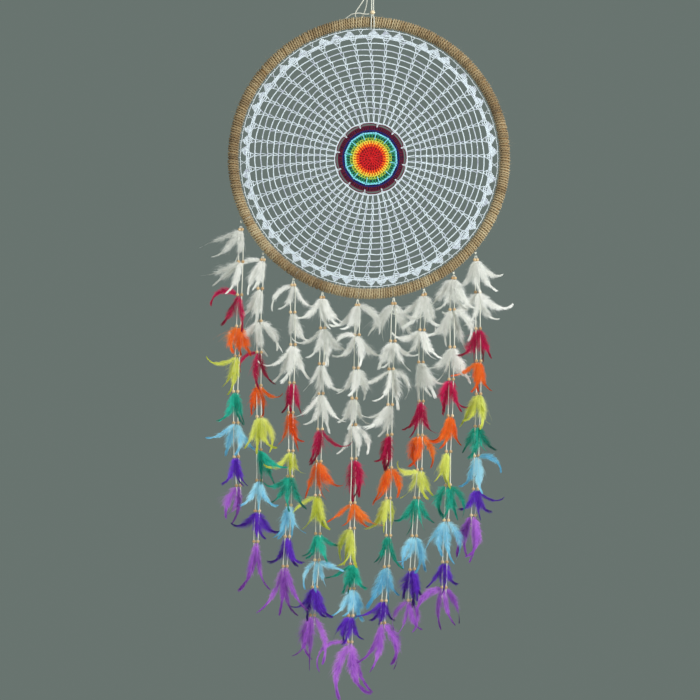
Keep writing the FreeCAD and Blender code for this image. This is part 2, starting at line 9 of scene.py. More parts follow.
import bpy
import numpy as np
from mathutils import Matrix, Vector


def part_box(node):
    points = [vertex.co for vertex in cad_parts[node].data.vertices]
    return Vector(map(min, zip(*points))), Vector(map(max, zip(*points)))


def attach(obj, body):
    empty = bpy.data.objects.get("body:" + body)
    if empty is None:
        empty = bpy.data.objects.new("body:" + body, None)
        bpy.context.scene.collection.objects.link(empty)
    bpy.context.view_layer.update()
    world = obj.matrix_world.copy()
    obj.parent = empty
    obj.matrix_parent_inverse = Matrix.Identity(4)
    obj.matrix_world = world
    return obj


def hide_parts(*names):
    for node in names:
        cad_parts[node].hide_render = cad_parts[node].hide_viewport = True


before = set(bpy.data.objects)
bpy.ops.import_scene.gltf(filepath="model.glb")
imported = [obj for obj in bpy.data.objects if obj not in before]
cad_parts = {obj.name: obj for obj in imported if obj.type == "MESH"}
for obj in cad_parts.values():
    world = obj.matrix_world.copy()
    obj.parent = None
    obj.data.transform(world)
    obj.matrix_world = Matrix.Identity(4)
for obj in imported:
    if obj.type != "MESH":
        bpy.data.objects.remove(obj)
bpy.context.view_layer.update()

# ---------------- sizes
hoop_low, hoop_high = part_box("jute_wrap")
MIDDLE = np.array((hoop_low + hoop_high) / 2)  # the hoop's middle
HOOP_REACH = (hoop_high.x - hoop_low.x) / 2
WRAP_RADIUS = (hoop_high.y - hoop_low.y) / 2
TUBE_MIDDLE = HOOP_REACH - WRAP_RADIUS
DEPTH = np.array((0.0, 1.0, 0.0))
MM = 0.001

TWINE_RADIUS = 1.7 * MM
TWINE_TURNS = 352

# Two-ply threads: how far the plies wind from the middle, the pitch of the winding and the plies' radius.
TWINE_LAY = (0.4 * TWINE_RADIUS, 9 * MM, 0.57 * TWINE_RADIUS)
STRAND_TIE = np.array((0.2, 2.4, 0.24)) * MM
POST_THREAD = np.array((0.33, 3.4, 0.39)) * MM
RING_THREAD = np.array((0.28, 3, 0.3)) * MM
PETAL_TIE = np.array((0.26, 3, 0.3)) * MM
EDGE_STITCH = np.array((0.3, 3, 0.34)) * MM
EDGE_CROSS = np.array((0.27, 3, 0.3)) * MM
EDGE_TIP_THREAD = np.array((0.3, 3, 0.35)) * MM
LACING_THREAD = np.array((0.33, 3.2, 0.36)) * MM
LACING_STAY = np.array((0.25, 3, 0.3)) * MM
TICK_THREAD = np.array((0.38, 3.4, 0.44)) * MM
PETAL_STITCH = np.array((0.5, 4.5, 0.62)) * MM
# Plaited chains: how far the threads swing to the sides and front to back, their radius and their pitch.
ROUND_PLAIT = np.array((0.46, 0.28, 0.39, 5)) * MM
BAND_PLAIT = np.array((0.42, 0.26, 0.36, 4.6)) * MM
POINT_PLAIT = np.array((0.45, 0.28, 0.36, 4.2)) * MM

WEB_RING = 51.5 * MM
FIRST_ROUND = 63.2 * MM
ROUND_PITCH = 8.2 * MM
ROUND_COUNT = 13
INNER_ROUNDS = 9  # how many rounds are in the inner piece of the two
INNER_POSTS = 7  # how many rows of posts are in theirs
COLUMNS = 48
COLUMN_TURN = 4.3  # degrees clockwise from straight up to the first column
COLUMN_LEAN = 5.0  # degrees that the columns crowd to one side at the rim
LEAN_PHASE = 35.0
EDGE_INNER = 167.0 * MM
EDGE_ARCH = 169.6 * MM  # where the edge begins between columns
ARCH_SHELF = 2.8 * MM  # from a column's middle to where its arch begins
ARCH_RISE = 2.6 * MM  # from there to the arch's full height
CHAIN_SLACK = 0.4 * MM  # of the chains between columns
EDGE_ROOT = 173.0 * MM
EDGE_TIP = 180.6 * MM
LACING = 181.3 * MM
EDGE_START = 2.5  # the column that the edge's first cross is at
EDGE_STEP = 0.75  # columns from one point of the edge to the next; each fourth is a cross
EDGE_POINTS = round(COLUMNS / EDGE_STEP)

PETALS = 12
PETAL_TURN = 11.0  # degrees from straight up to the first white tie
NAVY_RIM = 40.4 * MM
BURGUNDY_VALLEY = 45.6 * MM
BURGUNDY_TIP = 49.7 * MM
WEB_PULL = np.array((2.7, 0.0, -0.9)) * MM  # how far the middle of the web hangs off the hoop's middle

HANGER_CORD = 0.8 * MM  # radius
HANGER_LAY = (0.45 * HANGER_CORD, 4.1 * MM, 0.56 * HANGER_CORD)  # as for the two-ply threads above
HANGER_GAP = 1.35 * MM
EYE_RADIUS = 2.6 * MM
KNOT_RADIUS = 2.7 * MM
BEAD_HEIGHT = 39.4 * MM
LEG_RADIUS = 0.7 * MM
LEG_GAP = 3.1 * MM
STRAND_REACH = 202.3 * MM
BEAD_RADIUS = 2.4 * MM
TAIL_LENGTH = 14.0 * MM
TAIL_SHARE = 0.7

# Every strand from its tie downwards, left to right. A level holds the strand's x, its drop below the hoop's
# middle and its feathers' length, all in millimetres, and then each feather's lean in degrees from straight
# down, + to the right. The last seven levels of a strand have the dyes in this order. Those above are white.
DYES = ("crimson", "orange", "lime", "green", "sky", "violet", "purple")
LEVELS = [
    [
        (-181, 101, 54, -80, -35, 2), (-181, 146, 54, -73, -56, -12), (-183, 193, 50, -72, -40, 8),
        (-184, 238, 40, -24, -5, 12), (-186, 280, 50, -80, -22, 1), (-189, 330, 48, -8, 4, 18),
        (-188, 374, 50, -55, -30, 4, 32), (-188, 422, 44, -12, 0, 10), (-184, 463, 52, -44, -4, 9),
    ],
    [
        (-150, 144, 50, -58, -34, -10), (-154, 184, 48, -24, -8), (-156, 230, 54, -44, 0, 34, 54),
        (-155, 274, 48, -50, -30, 16), (-156, 321, 42, -35, -14, 10, 56), (-155, 365, 52, -22, -3, 20, 40),
        (-156, 412, 48, -6, 14, 32, 56), (-155, 455, 44, -28, -8, 28), (-158, 499, 42, -52, -14, 8, 40),
        (-160, 542, 64, -5, 17),
    ],
    [
        (-107, 179, 50, -40, -14, 30), (-108, 218, 48, -6, 8), (-107, 264, 56, -46, -27, -8, 13),
        (-109, 317, 48, -18, -6, 8), (-111, 359, 52, -17, 3, 26), (-110, 414, 46, -48, -22, 0, 27),
        (-112, 449, 44, -58, -34, -18, 28), (-113, 490, 46, -30, -15, 6, 30), (-115, 535, 46, -22, 0, 12),
        (-119, 577, 72, -14, -3, 10, 19),
    ],
    [
        (-66, 197, 50, -42, -6, 20, 36), (-65, 240, 50, -56, -10, 10, 40), (-67, 291, 44, -20, -3, 17),
        (-68, 333, 56, -42, -8, 10, 26), (-69, 383, 50, -22, -3, 58), (-71, 428, 50, -34, -12, 14, 42),
        (-73, 476, 52, -72, -9, 3, 18), (-72, 531, 42, -36, -13, 4, 56), (-73, 568, 42, -32, -10, 18, 82),
        (-77, 606, 44, -40, -18, 4, 42), (-80, 646, 66, -27, -11, 3, 20),
    ],
    [
        (-16, 207, 48, -40, -18, 4, 34), (-17, 250, 46, -62, -24, 3, 38), (-18, 297, 46, -24, -4, 10),
        (-21, 339, 40, -20, -2, 12), (-22, 377, 46, -15, 4, 28), (-21, 425, 58, -11, -2, 13),
        (-23, 487, 46, -60, -10, 13, 46), (-24, 523, 52, -34, -10, 4, 17), (-23, 573, 46, -54, -22, -4, 8),
        (-24, 608, 46, -42, -18, 6, 40), (-26, 647, 42, -52, -24, 3, 18), (-27, 684, 74, -58, -10, 14, 40),
    ],
    [
        (35, 206, 50, -45, -14, 28, 52), (34, 259, 44, -26, -8, 18, 52), (31, 298, 52, -58, -10, 14, 38),
        (30, 348, 48, -60, -40, -13), (29, 391, 52, -27, -13, 0), (29, 437, 46, -32, -13, 20),
        (27, 480, 50, -38, 1, 19), (28, 533, 46, -38, -18, -3), (25, 577, 54, -40, -8, 3, 20),
        (21, 625, 44, -54, -34, 2, 20), (19, 657, 68, -38, -7, 8, 18),
    ],
    [
        (78, 193, 50, -50, -22, 3, 26), (75, 243, 44, -70, -16, 4, 22), (73, 288, 54, -11, 1, 18, 34),
        (74, 343, 54, -26, -12, 4), (72, 391, 50, -24, -5, 30), (72, 440, 56, -105, -32, 4, 31),
        (67, 480, 48, -42, -18, 10, 38), (64, 534, 48, -25, -7, 12, 30), (61, 581, 44, -38, -9, 11, 33),
        (58, 625, 44, -33, -11, 7, 27),
    ],
    [
        (120, 170, 46, -36, -16, 4, 18), (117, 214, 58, -28, -7, 16, 36), (118, 267, 54, -34, -10, 6, 27),
        (116, 313, 48, -28, -13, 6, 24), (115, 364, 46, -24, -10, 4, 20), (112, 415, 46, -22, -7, 10),
        (112, 462, 48, -28, -4, 15, 36), (109, 512, 54, -46, -15, 6, 44), (107, 571, 46, -33, -12, 6, 30),
        (106, 607, 58, -45, -20, 3, 23),
    ],
    [
        (151, 144, 50, -16, 5, 22, 54), (154, 189, 54, -45, -9, 18, 50), (154, 241, 44, -34, -15, 15, 44),
        (155, 287, 44, -56, -9, 5, 18), (155, 333, 46, -36, -12, 7, 24), (153, 379, 42, -42, -14, 22, 44),
        (152, 421, 48, -16, -3, 10, 56), (151, 468, 44, -30, 3, 37, 66), (147, 505, 60, -34, 1, 13, 24),
    ],
]

# The hanging cord's loose ends: two drop from the knot behind the hoop, one lies over the hoop's top.
TAIL_ROUTES = [
    [
        (-0.004, 0.002, -0.01), (-0.0085, 0.003, -0.014), (-0.0126, 0.005, -0.021), (-0.019, 0.007, -0.03),
        (-0.0247, 0.009, -0.038), (-0.0235, 0.011, -0.046), (-0.019, 0.012, -0.053),
    ],
    [
        (-0.003, 0.004, -0.011), (-0.0065, 0.005, -0.015), (-0.0078, 0.006, -0.022),
        (-0.0092, 0.008, -0.033), (-0.0145, 0.011, -0.043), (-0.016, 0.013, -0.052),
    ],
    [
        (-0.005, 0, -0.0415), (-0.009, 0.001, -0.0422), (-0.018, 0.003, -0.0395),
        (-0.0267, 0.005, -0.0398), (-0.034, 0.009, -0.0425), (-0.04, 0.012, -0.048),
        (-0.043, 0.012, -0.054),
    ],
]


def strand_levels(rows):
    """The rows of one strand in metres, each with its feathers' colour."""
    colours = ("white",) * (len(rows) - len(DYES)) + DYES
    return [(x / 1000, drop / 1000, colour, length / 1000, leans)
            for (x, drop, length, *leans), colour in zip(rows, colours)]


STRANDS = [strand_levels(rows) for rows in LEVELS]


# ---------------- mesh building
def add_object(name, data):
    """A new object in the scene."""
    made = bpy.data.objects.new(name, data)
    bpy.context.scene.collection.objects.link(made)
    return made


class Shape:
    """Points, faces and a tint for each point, gathered for one mesh."""

    def __init__(self):
        self.points, self.tints, self.faces = [], [], []
        self.count = 0

    def add(self, points, faces, tint=0.5):
        """Add points (n, 3) with faces (m, sides) numbered from 0. The tint is one number or one a point."""
        self.points.append(points)
        self.tints.append(np.broadcast_to(tint, len(points)))
        self.faces.append(faces + self.count)
        self.count += len(points)


def make_piece(name, shape, slot, body, node=None):
    """The gathered shape as one piece that rides on a body and takes the place of a CAD node."""
    mesh = bpy.data.meshes.new(name)
    points = np.concatenate(shape.points).astype(np.float32)
    mesh.vertices.add(len(points))
    mesh.vertices.foreach_set("co", points.ravel())
    sides = np.concatenate([np.full(len(faces), faces.shape[1]) for faces in shape.faces])
    corners = np.concatenate([faces.ravel() for faces in shape.faces])
    mesh.loops.add(len(corners))
    mesh.loops.foreach_set("vertex_index", corners.astype(np.int32))
    mesh.polygons.add(len(sides))
    mesh.polygons.foreach_set("loop_start", np.concatenate([[0], np.cumsum(sides)[:-1]]).astype(np.int32))
    mesh.polygons.foreach_set("use_smooth", np.ones(len(sides), bool))
    tint = mesh.attributes.new("tint", "FLOAT", "POINT")
    tint.data.foreach_set("value", np.concatenate(shape.tints).astype(np.float32))
    mesh.materials.append(materials[slot])
    mesh.update()
    mesh.validate()
    piece = add_object(name, mesh)
    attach(piece, body)
    if node:
        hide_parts(node)
    return piece


def unit(vectors):
    return vectors / np.maximum(np.linalg.norm(vectors, axis=-1, keepdims=True), 1e-12)


def around(count):
    """Evenly spaced angles all the way round."""
    return np.linspace(0, 2 * np.pi, count, endpoint=False)


def lengths_along(paths):
    """Distance along each path (..., n, 3) up to each of its points."""
    steps = np.linalg.norm(np.diff(paths, axis=-2), axis=-1)
    return np.concatenate([np.zeros(steps.shape[:-1] + (1,)), np.cumsum(steps, axis=-1)], axis=-1)


def resample(path, step):
    """The same line with evenly spaced points about a step apart."""
    along = lengths_along(path)
    marks = np.linspace(0, along[-1], max(4, round(along[-1] / step) + 1))
    return np.stack([np.interp(marks, along, path[:, axis]) for axis in range(3)], axis=-1)


def closed_line(path, step):
    """The same for a closed line, whose first point isn't repeated at the end."""
    return resample(np.concatenate([path, path[:1]]), step)[:-1]


def crossways(paths, up, closed=False):
    """Two unit directions across each path (..., n, 3): one square to up, and the one nearest to up."""
    if closed:
        tangents = np.roll(paths, -1, axis=-2) - np.roll(paths, 1, axis=-2)
    else:
        tangents = np.gradient(paths, axis=-2)
    tangents = unit(tangents)
    side = unit(np.cross(tangents, up))
    return side, np.cross(side, tangents)


def add_tubes(shape, paths, radius, sides, up=DEPTH, closed=False, tint=0.5):
    """Round tubes along paths (m, n, 3) with closed ends. The radius is one number or (m, n)."""
    paths = np.asarray(paths, float)
    if paths.ndim == 2:
        paths = paths[None]
    count, steps = paths.shape[:2]
    side, top = crossways(paths, up, closed)
    angles = 2 * np.pi * np.arange(sides) / sides
    radius = np.broadcast_to(radius, (count, steps))[..., None, None]
    across = np.cos(angles)[:, None] * side[:, :, None] + np.sin(angles)[:, None] * top[:, :, None]
    points = paths[:, :, None] + radius * across
    starts = np.arange(count)[:, None, None] * steps * sides
    rings = np.arange(steps if closed else steps - 1)[None, :, None]
    here, after = rings * sides, (rings + 1) % steps * sides
    corner = np.arange(sides)[None, None, :]
    following = (corner + 1) % sides
    quads = np.stack([starts + here + corner, starts + after + corner,
                      starts + after + following, starts + here + following], axis=-1)
    tint = np.asarray(tint, float)
    tint = tint.reshape(tint.shape + (1,) * (3 - tint.ndim))
    base = shape.count
    tints = np.broadcast_to(tint, (count, steps, sides)).ravel()
    shape.add(points.reshape(-1, 3), quads.reshape(-1, 4), tints)
    if not closed:
        first = np.arange(count)[:, None] * steps * sides + np.arange(sides)
        last = first + (steps - 1) * sides
        shape.faces += [base + first, base + last[:, ::-1]]


def winding(path, pitch, up, closed):
    """The phase, at each point of a path, of what winds once in a pitch, and the two directions across it."""
    along = lengths_along(path)
    total = along[-1] + (np.linalg.norm(path[0] - path[-1]) if closed else 0)
    turns = max(1, round(total / pitch)) if closed else total / pitch
    return 2 * np.pi * turns * along / total, *crossways(path, up, closed)


def add_plies(shape, path, radius, pitch, thread, plies=2, sides=5, up=DEPTH, closed=False, tint=0.5):
    """A rope: plies of the thread's radius that wind round the path at the given radius."""
    phase, side, top = winding(path, pitch, up, closed)
    for ply in range(plies):
        angle = (phase + 2 * np.pi * ply / plies)[:, None]
        line = path + radius * (np.cos(angle) * side + np.sin(angle) * top)
        add_tubes(shape, line, thread, sides, up, closed, tint)


def add_plait(shape, path, width, thickness, thread, pitch, sides=4, closed=False, tint=0.5):
    """Three threads plaited along a path in the hoop's plane, which is how a crochet chain looks."""
    phase, side, top = winding(path, pitch, DEPTH, closed)
    for strand in range(3):
        angle = (phase + 2 * np.pi * strand / 3)[:, None]
        line = path + width * np.sin(angle) * side + thickness * np.sin(2 * angle) * top
        add_tubes(shape, line, thread, sides, DEPTH, closed, tint)


def add_rings(shape, rings, tint):
    """A closed surface through rings of points (n, sides, 3), the last one joined to the first."""
    count, sides = rings.shape[:2]
    ring = sides * np.arange(count)[:, None]
    after = np.roll(ring, -1)
    corner = np.arange(sides)[None]
    following = (corner + 1) % sides
    faces = np.stack([ring + corner, ring + following, after + following, after + corner], axis=-1)
    shape.add(rings.reshape(-1, 3), faces.reshape(-1, 4), tint)


def paint_shade_and_highlight(shape, height, low, high, amount):
    """Paint shade into the tint where points lie deep and a painted highlight on the crowns, between two
    heights. Height measures points.
    """
    for block, points in enumerate(shape.points):
        share = np.clip((height(points) - low) / (high - low), 0, 1)
        shape.tints[block] = shape.tints[block] + amount * (share - 0.6)


def bowed(start, end, steps, bow=0.0):
    """A line of evenly spaced points between two, whose middle stands out to the front by the bow."""
    share = np.linspace(0, 1, steps)[:, None]
    return start + (end - start) * share - DEPTH * bow * np.sin(np.pi * share)


def on_hoop(radius, turn, depth=0.0):
    """Points at a radius from the hoop's middle, turned clockwise from straight up (radians)."""
    radius, turn, depth = np.broadcast_arrays(radius, turn, depth)
    return MIDDLE + np.stack([radius * np.sin(turn), depth, radius * np.cos(turn)], axis=-1)


def on_web(radius, turn, depth=0.0):
    """The same on the web, whose middle is pulled a little to one side."""
    pull = np.clip((EDGE_INNER - np.asarray(radius, float)) / (EDGE_INNER - WEB_RING), 0, 1)
    points = on_hoop(radius, turn, depth)
    return points + np.broadcast_to(pull, points.shape[:-1])[..., None] * WEB_PULL


# ---------------- materials
class Nodes:
    """A material's nodes, with a Principled shader ready to link."""

    def __init__(self, name, roughness=0.85, sheen=0.0):
        self.material = bpy.data.materials.new(name)
        self.material.use_nodes = True
        self.tree = self.material.node_tree
        self.shader = self.tree.nodes["Principled BSDF"]
        self.shader.inputs["Roughness"].default_value = roughness
        self.shader.inputs["Sheen Weight"].default_value = sheen
        self.shader.inputs["Specular IOR Level"].default_value = 0.3

    def node(self, kind, inputs=(), **settings):
        """A new node with its inputs linked to sockets or set to values."""
        made = self.tree.nodes.new("ShaderNode" + kind)
        for key, value in settings.items():
            setattr(made, key, value)
        for key, value in dict(inputs).items():
            if isinstance(value, bpy.types.NodeSocket):
                self.tree.links.new(value, made.inputs[key])
            else:
                made.inputs[key].default_value = value
        return made

    def noise(self, scale, detail, vector):
        return self.node("TexNoise", {"Scale": scale, "Detail": detail, "Vector": vector}).outputs["Fac"]

    def calculate(self, operation, *values):
        return self.node("Math", dict(enumerate(values)), operation=operation).outputs[0]

    def ramp(self, factor, *stops):
        """Colours blended along the factor: stops are pairs of place and linear colour."""
        made = self.node("ValToRGB", {"Fac": factor})
        elements = made.color_ramp.elements
        while len(elements) < len(stops):
            elements.new(0.5)
        for element, (place, colour) in zip(elements, stops):
            element.position = place
            element.color = (*colour, 1)
        return made.outputs["Color"]

    def mix(self, factor, first, second):
        """Two colours mixed."""
        made = self.node("Mix", data_type="RGBA")
        for socket, value in ((made.inputs[0], factor), (made.inputs[6], first), (made.inputs[7], second)):
            if isinstance(value, bpy.types.NodeSocket):
                self.tree.links.new(value, socket)
            else:
                socket.default_value = (*value, 1) if isinstance(value, tuple) else value
        return made.outputs[2]

    def tint(self):
        return self.node("Attribute", attribute_name="tint").outputs["Fac"]

    def place(self, stretch=(1, 1, 1)):
        """The object's own coordinates, stretched."""
        coordinates = self.node("TexCoord").outputs["Object"]
        return self.node("Mapping", {"Vector": coordinates, "Scale": stretch}).outputs["Vector"]

    def colour(self, socket):
        self.tree.links.new(socket, self.shader.inputs["Base Color"])

    def bump(self, height, strength, distance):
        made = self.node("Bump", {"Height": height, "Strength": strength, "Distance": distance})
        self.tree.links.new(made.outputs["Normal"], self.shader.inputs["Normal"])


def srgb(red, green, blue):
    """A linear colour from the usual 0 to 255 values."""
    shares = (value / 255 for value in (red, green, blue))
    return tuple(((c + 0.055) / 1.055) ** 2.4 if c > 0.04 else c / 12.92 for c in shares)


BLACK = (0.0, 0.0, 0.0)


def scaled(colour, factor):
    return tuple(min(1.0, c * factor) for c in colour)


def yarn(name, colour, deep, light=1.15, sheen=0.08):
    """Spun cotton: fine fibres, uneven dye, painted shade in the deep colour between the threads, and a
    painted highlight on the crowns that light makes paler.
    """
    nodes = Nodes(name, roughness=0.9, sheen=sheen)
    place = nodes.place()
    pale_tone_and_highlight = scaled(colour, light)
    shade = nodes.calculate("ADD", nodes.noise(260, 4, place), nodes.tint())
    # dyed holds the dye's uneven tone together with the painted shade and the painted highlight that the tint
    # leads to.
    dyed = nodes.ramp(shade, (0.55, deep), (1.0, colour), (1.45, pale_tone_and_highlight))
    fibres = nodes.noise(2600, 2, place)
    nodes.colour(nodes.mix(nodes.ramp(fibres, (0.4, BLACK), (0.75, (0.2, 0.2, 0.2))), dyed, pale_tone_and_highlight))
    nodes.bump(fibres, 0.5, 0.12 * MM)
    return nodes.material


def jute():
    """Coarse straw-coloured fibre with darker and greyer turns, and through the tint painted shade between
    the turns and painted highlight on their crowns.
    """
    nodes = Nodes("jute", roughness=0.95, sheen=0.15)
    place = nodes.place()
    fibres = nodes.noise(3200, 3, place)
    streaks = nodes.noise(420, 4, place)
    shade = nodes.calculate("ADD", nodes.tint(), streaks)
    base = nodes.ramp(
        nodes.calculate("MULTIPLY", shade, 0.5),
        (0.1, srgb(46, 37, 24)),
        (0.32, srgb(110, 88, 60)),
        (0.52, srgb(155, 133, 97)),
        (0.75, srgb(196, 180, 144)),
    )
    pale = nodes.ramp(fibres, (0.5, BLACK), (0.8, (0.3, 0.3, 0.3)))
    nodes.colour(nodes.mix(pale, base, srgb(194, 184, 140)))
    nodes.bump(fibres, 0.8, 0.2 * MM)
    return nodes.material


def wood():
    """Turned pale wood with its grain along the bore."""
    nodes = Nodes("bead_wood", roughness=0.45)
    nodes.shader.inputs["Coat Weight"].default_value = 0.15
    grain = nodes.noise(900, 4, nodes.place((1, 1, 0.12)))
    half = nodes.calculate("MULTIPLY", nodes.calculate("ADD", grain, nodes.tint()), 0.5)
    stops = (0.3, srgb(150, 114, 72)), (0.5, srgb(204, 172, 126)), (0.7, srgb(232, 212, 176))
    nodes.colour(nodes.ramp(half, *stops))
    nodes.bump(grain, 0.15, 0.1 * MM)
    return nodes.material


def feather(name, deep, colour, pale):
    """Soft barbs that let some light through: deeper where the tint is low, paler where it is high."""
    nodes = Nodes(name, roughness=0.7, sheen=0.3)
    nodes.shader.inputs["Sheen Tint"].default_value = (*pale, 1)
    shade = nodes.calculate("MULTIPLY_ADD", nodes.noise(60, 2, nodes.place()), 0.5, nodes.tint())
    dyed = nodes.ramp(shade, (0.35, deep), (0.75, colour), (1.0, pale))
    nodes.colour(dyed)
    through = nodes.node("BsdfTranslucent", {"Color": dyed}).outputs[0]
    mixed = nodes.node("MixShader", {0: 0.45, 1: nodes.shader.outputs[0], 2: through}).outputs[0]
    nodes.tree.links.new(mixed, nodes.tree.nodes["Material Output"].inputs["Surface"])
    return nodes.material


def plain_floor():
    nodes = Nodes("floor", roughness=0.9)
    speckle = nodes.noise(3, 2, nodes.place())
    nodes.colour(nodes.ramp(speckle, (0.0, srgb(192, 194, 190)), (1.0, srgb(204, 205, 200))))
    return nodes.material


# The mandala's yarns: the colour, its painted shade between the threads, and how much paler its painted
# highlight on the crowns is.
YARNS = {
    "red": ((188, 18, 24), (108, 4, 12), 1.35),
    "orange": ((246, 96, 14), (150, 30, 6), 1.3),
    "yellow": ((244, 200, 66), (176, 96, 8), 1.2),
    "lime": ((166, 190, 74), (66, 92, 16), 1.2),
    "green": ((40, 132, 94), (2, 50, 48), 1.3),
    "sky": ((124, 200, 214), (20, 104, 126), 1.25),
    "navy": ((18, 30, 104), (6, 8, 40), 1.15),
    "burgundy": ((90, 12, 42), (24, 8, 40), 1.15),
}
# The feathers' deep, usual and pale shade.
FEATHERS = {
    "white": ((196, 199, 194), (236, 237, 231), (252, 252, 249)),
    "crimson": ((92, 4, 34), (178, 10, 60), (218, 36, 104)),
    "orange": ((196, 52, 6), (248, 104, 14), (255, 154, 60)),
    "lime": ((172, 184, 42), (224, 228, 84), (242, 246, 150)),
    "green": ((0, 88, 76), (6, 158, 132), (52, 208, 184)),
    "sky": ((70, 160, 200), (134, 214, 240), (192, 238, 250)),
    "violet": ((40, 8, 96), (88, 26, 180), (132, 66, 224)),
    "purple": ((100, 34, 136), (162, 80, 206), (210, 138, 236)),
}
COTTON, CANE = srgb(226, 226, 214), srgb(176, 136, 84)

# Each yarn's second colour is its painted shade between the threads; the white thread's is a lilac painted
# shade.
materials = {
    "cream_cotton": yarn("cream_cotton", COTTON, scaled(COTTON, 0.82), light=1.06, sheen=0.1),
    "white_thread": yarn("white_thread", srgb(214, 224, 230), srgb(158, 156, 184), light=1.08, sheen=0.1),
    "bead_wood": wood(),
    "jute": jute(),
}
for colour, (usual, deep, light) in YARNS.items():
    materials["yarn_" + colour] = yarn("yarn_" + colour, srgb(*usual), srgb(*deep), light)
for colour, shades in FEATHERS.items():
    materials["feather_" + colour] = feather("feather_" + colour, *(srgb(*shade) for shade in shades))


# ---------------- hoop
def tube_distance(points):
    """How far points are from the middle line of the hoop's tube."""
    from_middle = points - MIDDLE
    radial = np.hypot(from_middle[:, 0], from_middle[:, 2]) - TUBE_MIDDLE
    return np.hypot(radial, from_middle[:, 1])


def make_jute():
    """Two-ply twine wound round the hoop in close turns, in four pieces, and its loose fibres."""
    rng = np.random.default_rng(11)
    turn_angle = 2 * np.pi / TWINE_TURNS
    creep = rng.normal(0, 0.12, TWINE_TURNS + 1) * turn_angle
    swell = rng.normal(0, 0.14, TWINE_TURNS + 1) * MM
    slow = np.convolve(rng.normal(0, 1, TWINE_TURNS + 25), np.ones(25) / 5, "valid")[: TWINE_TURNS + 1]
    shade = 0.55 + 0.12 * slow + rng.normal(0, 0.1, TWINE_TURNS + 1)
    creep[-1], swell[-1], shade[-1] = creep[0], swell[0], shade[0]
    samples, quarters = 44, 4
    for quarter in range(quarters):
        first, last = (TWINE_TURNS * part // quarters for part in (quarter, quarter + 1))
        turns = np.linspace(first, last, (last - first) * samples + 1)
        round_hoop = turns * turn_angle + np.interp(turns, np.arange(TWINE_TURNS + 1), creep)
        reach = WRAP_RADIUS - TWINE_RADIUS + np.interp(turns, np.arange(TWINE_TURNS + 1), swell)
        round_tube = 2 * np.pi * turns
        path = on_hoop(TUBE_MIDDLE + reach * np.cos(round_tube), round_hoop, reach * np.sin(round_tube))
        outward = unit(path - on_hoop(TUBE_MIDDLE, round_hoop))
        tint = np.interp(turns, np.arange(TWINE_TURNS + 1), shade)[None]
        shape = Shape()
        add_plies(shape, path, *TWINE_LAY, sides=6, up=outward, tint=tint)
        # Painted shade in the gaps between the turns and painted highlight on their crowns.
        paint_shade_and_highlight(shape, tube_distance, WRAP_RADIUS - 1.9 * MM, WRAP_RADIUS - 0.2 * MM, 0.2)
        make_piece(f"jute_wrap_{quarter + 1}", shape, "jute", "hoop", "jute_wrap")

    shape = Shape()
    fibres, steps = 2200, 5
    on_ring, on_tube = rng.uniform(0, 2 * np.pi, (2, fibres))
    root = on_hoop(TUBE_MIDDLE + WRAP_RADIUS * np.cos(on_tube), on_ring, WRAP_RADIUS * np.sin(on_tube))
    outward = unit(root - on_hoop(TUBE_MIDDLE, on_ring))
    start = unit(rng.normal(0, 1, (fibres, 3)) + 0.6 * outward)
    bend = rng.normal(0, 0.7, (fibres, 3)) + 0.25 * outward
    share = np.linspace(0, 1, steps)[None, :, None]
    reach = rng.uniform(1.5, 5.0, fibres)[:, None, None] * MM
    paths = root[:, None] - 0.3 * MM * outward[:, None]
    paths = paths + reach * (share * start[:, None] + share**2 * bend[:, None])
    thin = 0.055 * MM * (1 - 0.6 * share[..., 0])
    add_tubes(shape, paths, thin, 3, up=(0.3, 0.8, 0.52), tint=rng.uniform(0.5, 1.1, fibres))
    make_piece("jute_fibres", shape, "jute", "hoop")


def make_strand_ties():
    """Two turns of thread for each strand, round the core under the jute, and a small knot below the hoop."""
    shape = Shape()
    turns = around(60)
    radius = WRAP_RADIUS - 2.4 * MM
    for levels in STRANDS:
        middle = levels[0][0] * TUBE_MIDDLE / STRAND_REACH
        down = math.pi - math.asin(middle / TUBE_MIDDLE)
        for side in (-0.45, 0.45):
            beside = down + side * MM / TUBE_MIDDLE
            path = on_hoop(TUBE_MIDDLE + radius * np.cos(turns), beside, radius * np.sin(turns))
            along = on_hoop(1.0, down + math.pi / 2) - MIDDLE
            add_plies(shape, path, *STRAND_TIE, up=along, closed=True)
        add_knot(shape, on_hoop(STRAND_REACH - 0.6 * MM, down), 2.0 * MM, 0.55 * MM, tilt=down)
    make_piece("strand_tie_threads", shape, "cream_cotton", "hoop", "strand_ties")


# ---------------- web
def column_turn(column, radius):
    """Where a column of the web stands at a radius, in radians clockwise from straight up."""
    even = 2 * np.pi * np.asarray(column, float) / COLUMNS
    rim_share = (radius - WEB_RING) / (EDGE_INNER - WEB_RING)
    crowd = np.cos(even + math.radians(LEAN_PHASE))
    return even + math.radians(COLUMN_TURN) - rim_share * math.radians(COLUMN_LEAN) * crowd


def web_radii():
    """From the ring that the mandala hangs in to the edge."""
    rounds = FIRST_ROUND + ROUND_PITCH * np.arange(ROUND_COUNT)
    return np.concatenate([[WEB_RING], rounds, [EDGE_INNER + 0.6 * MM]])


def web_nodes():
    """Radius and turn of each column's middle on each round, unevenly pulled as crochet is."""
    rng = np.random.default_rng(5)
    radii = web_radii()
    columns = np.arange(COLUMNS)
    pulled = rng.normal(0, 0.45 * MM, (len(radii), COLUMNS))
    pulled[[0, -1]] *= 0.4
    sway = rng.normal(0, 0.35 * MM, (len(radii), COLUMNS))
    turns = np.stack([column_turn(columns, radius) for radius in radii]) + sway / radii[:, None]
    half = np.linspace(1.25, 2.35, len(radii))[:, None] * MM + rng.normal(0, 0.12 * MM, (len(radii), COLUMNS))
    half[-1] *= 1.5
    return radii[:, None] + pulled, turns, half / radii[:, None]


